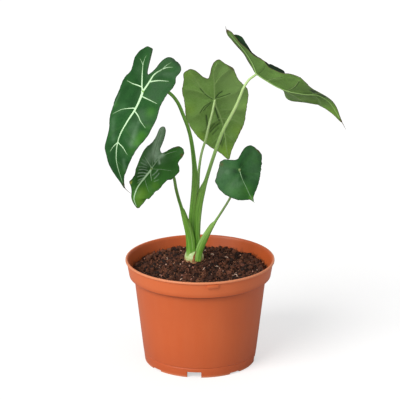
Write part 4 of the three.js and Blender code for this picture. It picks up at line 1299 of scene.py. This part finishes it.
def makeCorm():
    heights = 83 + 33 * (0.5 - 0.5 * np.cos(np.linspace(0, math.pi, corm["steps"])))
    turn = np.arange(corm["sides"]) * math.tau / corm["sides"]
    rings, husky = [], []
    for z in heights:
        radius = np.full(corm["sides"], max(cormRadius(z)[0], 0.05))
        rough = np.array([noise.fractal(Vector((math.cos(t) * 2, math.sin(t) * 2, z * 0.28)), 1, 2, 4) for t in turn])
        scarred = np.zeros(corm["sides"])
        for k, scar in enumerate(corm["scars"]):
            level = scar + 0.9 * np.sin(turn + k * 2.2) + 0.25 * np.sin(5 * turn + k)
            step = np.exp(-(((z - level) / corm["scarWidth"]) ** 2))
            radius += corm["scarHeight"] * step * (z < 112)
            scarred = np.maximum(scarred, step)
        radius += corm["roughness"] * rough * min(1, radius[0] / 5)
        x, y = corm["x"] + radius * np.cos(turn), corm["y"] + radius * np.sin(turn)
        rings.append(np.stack([x, y, np.full(len(turn), z)], 1))
        husky.append(scarred)
    made = shell(capped(rings), husky=np.concatenate([[0], *husky, [0]]))
    material, tree, shader = newMaterial("cormSkin", {"Roughness": 0.5, "Specular IOR Level": 0.4})
    spot = place(tree)
    base = cloudy(tree, spot, 220, 0.2, corm["skinGreen"], corm["skin"])["Colour"]
    husk = cloudy(tree, spot, 500, 0.2, corm["husk"], corm["huskPale"])["Colour"]
    soiled = setGroup(tree, dust, {"Level": 0.108, "Fade": 0.0036, "Scale": 520})["Mask"]
    brown = maths(tree, "MAXIMUM", soiled, times(tree, mark(tree, "husky"), 0.35))
    skin = setGroup(tree, grain, {"Vector": spot, "Scale": 1300, "Coarse": 1})["Height"]
    finishSurface(tree, shader, mixColour(tree, brown, base, husk), bump=(skin, 0.4, 0.1))
    makePiece("cormBody", [made], [material], "corm")


def makeDriedSheath():
    # a papery brown tongue, torn at its top and curling off the corm
    rows, columns = driedSheath["rows"], driedSheath["columns"]
    outer, inner = [], []
    for i in range(rows):
        share = i / (rows - 1)
        z = driedSheath["bottomZ"] + (driedSheath["topZ"] - driedSheath["bottomZ"]) * share
        half = driedSheath["halfAngle"] * (1 - 0.75 * share**1.6) * (1 + 0.12 * math.sin(share * 17))
        off = cormRadius(min(z, 111))[0] + 0.35 + 1.3 * share**2
        rowOut, rowIn = [], []
        for j in range(columns):
            across = 2 * j / (columns - 1) - 1
            turned = driedSheath["turn"] + driedSheath["slant"] * share + across * half + 1.2 * math.sin(share * 9)
            angle = math.radians(turned - 90)
            curl = driedSheath["curl"] * across**2 * (0.4 + share)
            crinkle = driedSheath["crinkle"] * noise.noise(Vector((across * 2.2, share * 7, 3)))
            thick = driedSheath["thickness"] * (1 - 0.6 * abs(across) ** 3)
            for row, depth in ((rowOut, off + curl + crinkle + thick), (rowIn, off + curl + crinkle)):
                row.append((corm["x"] + depth * math.cos(angle), corm["y"] + depth * math.sin(angle), z))
        outer.append(np.array(rowOut))
        inner.append(np.array(rowIn))
    rings = [np.vstack([a, b[::-1]]) for a, b in zip(outer, inner)]
    material, tree, shader = newMaterial("driedSheath", {"Roughness": 0.8})
    fibres = cloudy(tree, place(tree, (1, 1, 0.12)), 1500, 0.2, driedSheath["dark"], driedSheath["colour"])
    finishSurface(tree, shader, fibres["Colour"], bump=(fibres["Mask"], 0.6, 0.12))
    makePiece("driedSheath", [shell(capped(rings))], [material], "dried_sheath")


roots = {
    "count": 6,
    "startRadius": 9,
    "startZ": 90.5,
    "spread": 32,
    "drop": 50,
    "dropStep": 3,
    "swing": 0.35,
    "thick": 1.7,
    "thin": 0.9,
    "colour": srgb(222, 210, 180),
    "dark": srgb(176, 146, 104),
    "hairs": 9,
}


def makeRoots():
    material, tree, shader = newMaterial("rootSkin", {"Roughness": 0.7})
    spot = place(tree)
    base = cloudy(tree, spot, 260, 0.25, roots["dark"], roots["colour"])["Colour"]
    skin = setGroup(tree, grain, {"Vector": spot, "Scale": 1200, "Coarse": 1})["Height"]
    finishSurface(tree, shader, base, bump=(skin, 0.5, 0.12))
    pick = random.Random(11)
    for index in range(roots["count"]):
        start = math.radians(20) + index * math.tau / roots["count"]
        points = []
        for share in (0, 0.2, 0.45, 0.72, 1):
            out = roots["startRadius"] + roots["spread"] * share
            swing = start + roots["swing"] * math.sin(4 * share + index)
            z = roots["startZ"] - (roots["drop"] + roots["dropStep"] * index) * share**1.5
            points.append((corm["x"] + out * math.cos(swing), corm["y"] + out * math.sin(swing), z))
        share = np.linspace(0, 1, 60)
        line = spread(rounded(points), share)
        sizes = roots["thick"] + (roots["thin"] - roots["thick"]) * share
        sizes = sizes * (1 + 0.06 * np.sin(share * 70 + index)) * np.minimum(1, (1 - share) * 8 + 0.25)
        shells = [sweep(line, sizes, sides=14)]
        for _ in range(roots["hairs"]):
            at = line[pick.randrange(8, 55)]
            way = np.array([pick.uniform(-1, 1), pick.uniform(-1, 1), pick.uniform(-1.4, 0.1)])
            length = pick.uniform(4, 9)
            bend = np.array([pick.uniform(-2, 2) for _ in range(3)])
            hair = np.array([at + way * length * t + bend * t * t for t in np.linspace(0, 1, 7)])
            shells.append(sweep(hair, np.linspace(0.3, 0.12, 7), sides=5))
        makePiece(f"root{index + 1}", shells, [material], f"root_{index + 1}")


makeCorm()
makeDriedSheath()
makeRoots()
print("corm, dried sheath and roots ready")


# ---- potting mix ----

mix = {
    "edgeZ": 95.5,
    "mound": 10,
    "moundReach": 34,
    "bumps": 0.65,
    "clodHeight": 1.32,
    "crumbHeight": 0.84,
    "backRise": 1.5,  # it is fuller towards the back of the pot
    "crumbs": {"count": 1500, "sizes": (1.2, 3.4), "flatness": (0.5, 0.95), "lift": 0.15, "palest": 0.86},
    "rimCrumbs": {
        "count": 170, "sizes": (1.2, 3.9), "flatness": (0.6, 1), "lift": 0.6, "palest": 0.86, "innerRadius": 58,
    },
    "smallCrumbs": {"count": 4200, "sizes": (0.5, 1.35), "flatness": (0.6, 1), "lift": 0.4},
    "bark": {"count": 150, "sizes": (1.6, 3.4), "flatness": (0.18, 0.4), "lift": 0.2},
    "flecks": {"count": 140, "sizes": (0.5, 1.4), "flatness": (0.4, 0.9), "lift": 0.9},
    "fibres": {"count": 240, "length": (3, 9), "curl": 2.6, "arch": (0.2, 1.2), "radius": (0.13, 0.26)},
    # pale curled fibres: x, y, length, heading and curl in radians
    "curls": [
        (4, 46, 5, 0.4, 2.5), (11, 34, 7, 0.3, -3.2), (3, -15, 8, 0.9, 1.2), (16, -6, 7, 0.2, -2.4),
        (-34, 22, 6, 1.2, 2), (30, 26, 6, 2.6, 1.6), (-20, -34, 7, 0.5, -1.8), (38, -20, 5, 1.9, 2.2),
    ],
    "dark": srgb(22, 11, 7),
    "brown": srgb(112, 66, 45),
    "light": srgb(176, 118, 86),
    "bark1": srgb(104, 56, 38),
    "fibreDark": srgb(104, 64, 42),
    "fibreLight": srgb(192, 138, 102),
    "curl": srgb(236, 206, 184),
    "fleck1": srgb(226, 186, 164),
    "fleck2": srgb(186, 112, 96),
}


def mixTop(x, y):
    fromCorm = math.hypot(x - corm["x"], y - corm["y"])
    bumps = math.sin(x / 7 + 1) * math.cos(y / 6) + 0.7 * math.sin((x + y) / 4.3)
    return mix["edgeZ"] + mix["mound"] * math.exp(-((fromCorm / mix["moundReach"]) ** 2)) + mix["bumps"] * bumps


def clodded(x, y):
    # the mix's surface with its clods
    clod = noise.fractal(Vector((x * 0.16, y * 0.16, 2)), 1, 2, 3)
    crumb = noise.fractal(Vector((x * 0.55, y * 0.55, 7)), 0.8, 2, 3)
    rise = mix["backRise"] * max(0, min(1, (y - 18) / 30))
    return mixTop(x, y) + rise - 0.9 + mix["clodHeight"] * clod + mix["crumbHeight"] * crumb


def mixRadius(z):
    # how far the mix reaches inside the pot
    if z > bandFootZ + 1.6:
        share = (z - bandFootZ - 1.6) / (pot["bandHeight"] - 3.2)
        return pot["bandFootRadius"] + (pot["rimRadius"] - 1.6 - pot["bandFootRadius"]) * share - pot["wall"] - 0.3
    return wallRadius(z) - pot["wall"] - 0.3


def makeMixBody():
    turn = np.arange(220) * math.tau / 220

    def ring(radius, z=None):
        points = [(radius * math.cos(t), radius * math.sin(t)) for t in turn]
        return np.array([(x, y, clodded(x, y) if z is None else z) for x, y in points])

    floor = potFloorTop + 0.3
    rings = [
        np.array([[0, 0, pot["floorThickness"] + 0.3]]),
        ring(pot["padRadius"] - 2, pot["floorThickness"] + 0.3),
        ring(pot["padRadius"] + 2.4, floor),
        ring(mixRadius(floor) - 3.2, floor),
        ring(mixRadius(floor + 3.2), floor + 3.2),
        *[ring(mixRadius(z) - 0.2, z) for z in (20, 30, 40, 50, 60, 70, 80, 88)],
    ]
    edge = mixRadius(93.6)
    rings += [ring(edge * share) for share in np.linspace(1, 0.01, 84)]
    rings.append(rings[-1].mean(0, keepdims=True))
    return shell(rings, shade=0.25)


def crumbTemplates(seed, count, subdivisions, roughness):
    templates = []
    for k in range(count):
        builder = bmesh.new()
        bmesh.ops.create_icosphere(builder, subdivisions=subdivisions, radius=1)
        verts = []
        for vert in builder.verts:
            lump = 1 + roughness * noise.fractal(vert.co * 1.3 + Vector((seed + k * 7.3, 0, 0)), 0.7, 2.1, 3)
            verts.append(vert.co * lump)
        faces = [tuple(v.index for v in face.verts) for face in builder.faces]
        builder.free()
        templates.append((np.array(verts), faces))
    return templates


def scatter(pick, templates, count, sizes, flatness, lift, innerRadius=0, palest=1):
    # crumbs lying on the mix, each turned its own way
    shells = []
    while len(shells) < count:
        size = pick.uniform(*sizes) * pick.uniform(0.6, 1.0)
        share = (innerRadius / mixRadius(95)) ** 2
        angle, radius = pick.uniform(0, math.tau), mixRadius(95) * math.sqrt(pick.uniform(share, 1))
        x, y = radius * math.cos(angle), radius * math.sin(angle)
        if radius + size > mixRadius(95) - 0.3 or math.hypot(x - corm["x"], y - corm["y"]) < 9.2 + 0.6 * size:
            continue
        if math.hypot(x + 2, y + 1.5) < 3.6 + 0.6 * size:  # the low right petiole stands here
            continue
        verts, faces = templates[pick.randrange(len(templates))]
        spin = random.Random(pick.random())
        turn = Vector((0, 0, 1)).rotation_difference(
            Vector((spin.uniform(-1, 1), spin.uniform(-1, 1), spin.uniform(0.1, 1)))
        ).to_matrix() @ Matrix.Rotation(spin.uniform(0, math.tau), 3, "Z")
        scale = np.array([1, spin.uniform(0.6, 1), spin.uniform(*flatness)]) * size
        z = clodded(x, y) + size * lift
        shade = palest * spin.random()
        points = (verts * scale) @ np.array(turn).T + (x, y, z)
        shells.append({"verts": points, "faces": faces, "slots": [0] * len(faces), "marks": {"shade": shade}})
    return shells


def mixMaterial():
    material, tree, shader = newMaterial("darkCoirMix", {"Specular IOR Level": 0.3})
    spot = place(tree)
    base = cloudy(tree, spot, 420, 0.2, mix["dark"], mix["brown"])
    shade = mark(tree, "shade")
    colour = layered(
        tree, base["Colour"],
        (ramp(tree, shade, 0.55, 1.0, 0, 0.75), mix["brown"]),
        (ramp(tree, shade, 0.8, 1.0, 0, 0.9), mix["light"]),
        (ramp(tree, shade, 0.45, 0.1, 0, 0.9), mix["dark"]),
    )
    rough = setGroup(tree, grain, {"Vector": spot, "Scale": 1500, "Coarse": 2})["Height"]
    finishSurface(tree, shader, colour, ramp(tree, base["Mask"], 0, 1, 0.7, 0.95), (rough, 0.8, 0.35))
    return material


def tintedMaterial(name, first, second, roughness):
    material, tree, shader = newMaterial(name, {"Roughness": roughness})
    shades = mixColour(tree, mark(tree, "shade"), first, second)
    streaks = cloudy(tree, place(tree), 700, 0.25, (0.55, 0.5, 0.45, 1))
    colour = mixColour(tree, 0.7, shades, streaks["Colour"], "MULTIPLY")
    finishSurface(tree, shader, colour, bump=(streaks["Mask"], 0.6, 0.2))
    return material


def fibre(x, y, length, heading, curl, arch, thick, shade):
    points = []
    for t in np.linspace(0, 1, 9):
        points.append((x, y, clodded(x, y) + 0.5 + arch * math.sin(math.pi * t)))
        x += length / 8 * math.cos(heading + curl * t)
        y += length / 8 * math.sin(heading + curl * t)
    if max(math.hypot(p[0], p[1]) for p in points) > 67:
        return None
    line = rounded(points, perSpan=2)
    return sweep(line, thick * np.linspace(1, 0.6, len(line)), sides=6, shade=shade)


def makeFibres(pick, count, length, curl, arch, radius):
    shells = []
    while len(shells) < count:
        turn, out = pick.uniform(0, math.tau), 66 * math.sqrt(pick.random())
        x, y = out * math.cos(turn), out * math.sin(turn)
        if math.hypot(x - corm["x"], y - corm["y"]) < 12:
            continue
        shape = [pick.uniform(*span) for span in (length, (0, math.tau), (-curl, curl), arch, radius)]
        made = fibre(x, y, *shape, pick.random())
        if made:
            shells.append(made)
    return shells


def makeMix():
    pick = random.Random(5)
    clods = crumbTemplates(3, 9, 2, 0.6)
    crumbs = scatter(pick, clods, **mix["crumbs"]) + scatter(pick, clods, **mix["rimCrumbs"])
    small = scatter(pick, crumbTemplates(21, 9, 1, 0.6), **mix["smallCrumbs"])
    bark = scatter(pick, crumbTemplates(40, 6, 2, 0.5), **mix["bark"])
    fibres = makeFibres(pick, **mix["fibres"])
    flecks = scatter(pick, crumbTemplates(60, 5, 2, 0.4), **mix["flecks"])
    curls = [fibre(*curl, 1.6, 0.48, 0.85) for curl in mix["curls"]]
    body = mixMaterial()
    pieces = {
        "mixBody": ([makeMixBody(), *crumbs], body),
        "mixCrumbs": (small, body),
        "barkChips": (bark, tintedMaterial("barkChips", mix["bark1"], mix["brown"], 0.8)),
        "coirFibres": (fibres, tintedMaterial("coirFibre", mix["fibreDark"], mix["fibreLight"], 0.75)),
        "paleCurls": (curls, tintedMaterial("paleCurls", mix["fleck1"], mix["curl"], 0.7)),
        "paleFlecks": (flecks, tintedMaterial("paleFlecks", mix["fleck2"], mix["fleck1"], 0.7)),
    }
    for name, (shells, material) in pieces.items():
        makePiece(name, shells, [material], "potting_mix")
    print("potting mix ready")


makeMix()


# ---- floor, light and camera ----

studio = {
    "floor": (0.55, 0.55, 0.55, 1),
    "floorGlow": 0.56,
    "world": (0.97, 0.98, 1.0, 1),
    "worldStrength": 0.39,
    "lamps": {
        "key": {"from": (-0.68, -0.733, 0.7), "strength": 2.7, "softness": 40, "colour": (1, 0.985, 0.96)},
        "fill": {"from": (0.7, -0.7, 0.36), "strength": 0.3, "softness": 70, "colour": (1, 0.96, 0.9)},
    },
    "target": (0, 0, 0.1709),
    "distance": 2.0,
    "elevation": 17.39,
    "lens": 177.5,
}


def makeFloor():
    builder = bmesh.new()
    bmesh.ops.create_circle(builder, cap_ends=True, segments=96, radius=9)
    mesh = bpy.data.meshes.new("floor")
    builder.to_mesh(mesh)
    builder.free()
    floor = bpy.data.objects.new("floor", mesh)
    bpy.context.scene.collection.objects.link(floor)
    material, tree, shader = newMaterial("paleFloor", {"Roughness": 0.8, "Specular IOR Level": 0.2})
    shader.inputs["Base Color"].default_value = studio["floor"]
    glow = addNode(tree, "ShaderNodeLightPath").outputs["Is Camera Ray"]  # lifts the floor's shade, lights nothing
    tree.links.new(glow, shader.inputs["Emission Color"])
    shader.inputs["Emission Strength"].default_value = studio["floorGlow"]
    mesh.materials.append(material)


def addLamp(name, lamp):
    data = bpy.data.lights.new(name, "SUN")
    data.energy, data.angle, data.color = lamp["strength"], math.radians(lamp["softness"]), lamp["colour"]
    made = bpy.data.objects.new(name, data)
    made.location = Vector(lamp["from"])
    made.rotation_euler = (-Vector(lamp["from"])).to_track_quat("-Z", "Y").to_euler()
    bpy.context.scene.collection.objects.link(made)


def makeStudio():
    makeFloor()
    for name, lamp in studio["lamps"].items():
        addLamp(name, lamp)
    world = bpy.data.worlds.new("studio")
    bpy.context.scene.world = world
    world.use_nodes = True
    backdrop = world.node_tree.nodes["Background"].inputs
    backdrop["Color"].default_value = studio["world"]
    backdrop["Strength"].default_value = studio["worldStrength"]
    bpy.context.scene.view_settings.view_transform = "Standard"

    lens = bpy.data.cameras.new("camera")
    lens.lens, lens.sensor_width = studio["lens"], 36
    camera = bpy.data.objects.new("camera", lens)
    tilt = math.radians(studio["elevation"])
    away = Vector((0, -math.cos(tilt), math.sin(tilt))) * studio["distance"]
    camera.location = Vector(studio["target"]) + away
    camera.rotation_euler = (math.pi / 2 - tilt, 0, 0)
    bpy.context.scene.collection.objects.link(camera)
    bpy.context.scene.camera = camera


makeStudio()
print("studio ready")
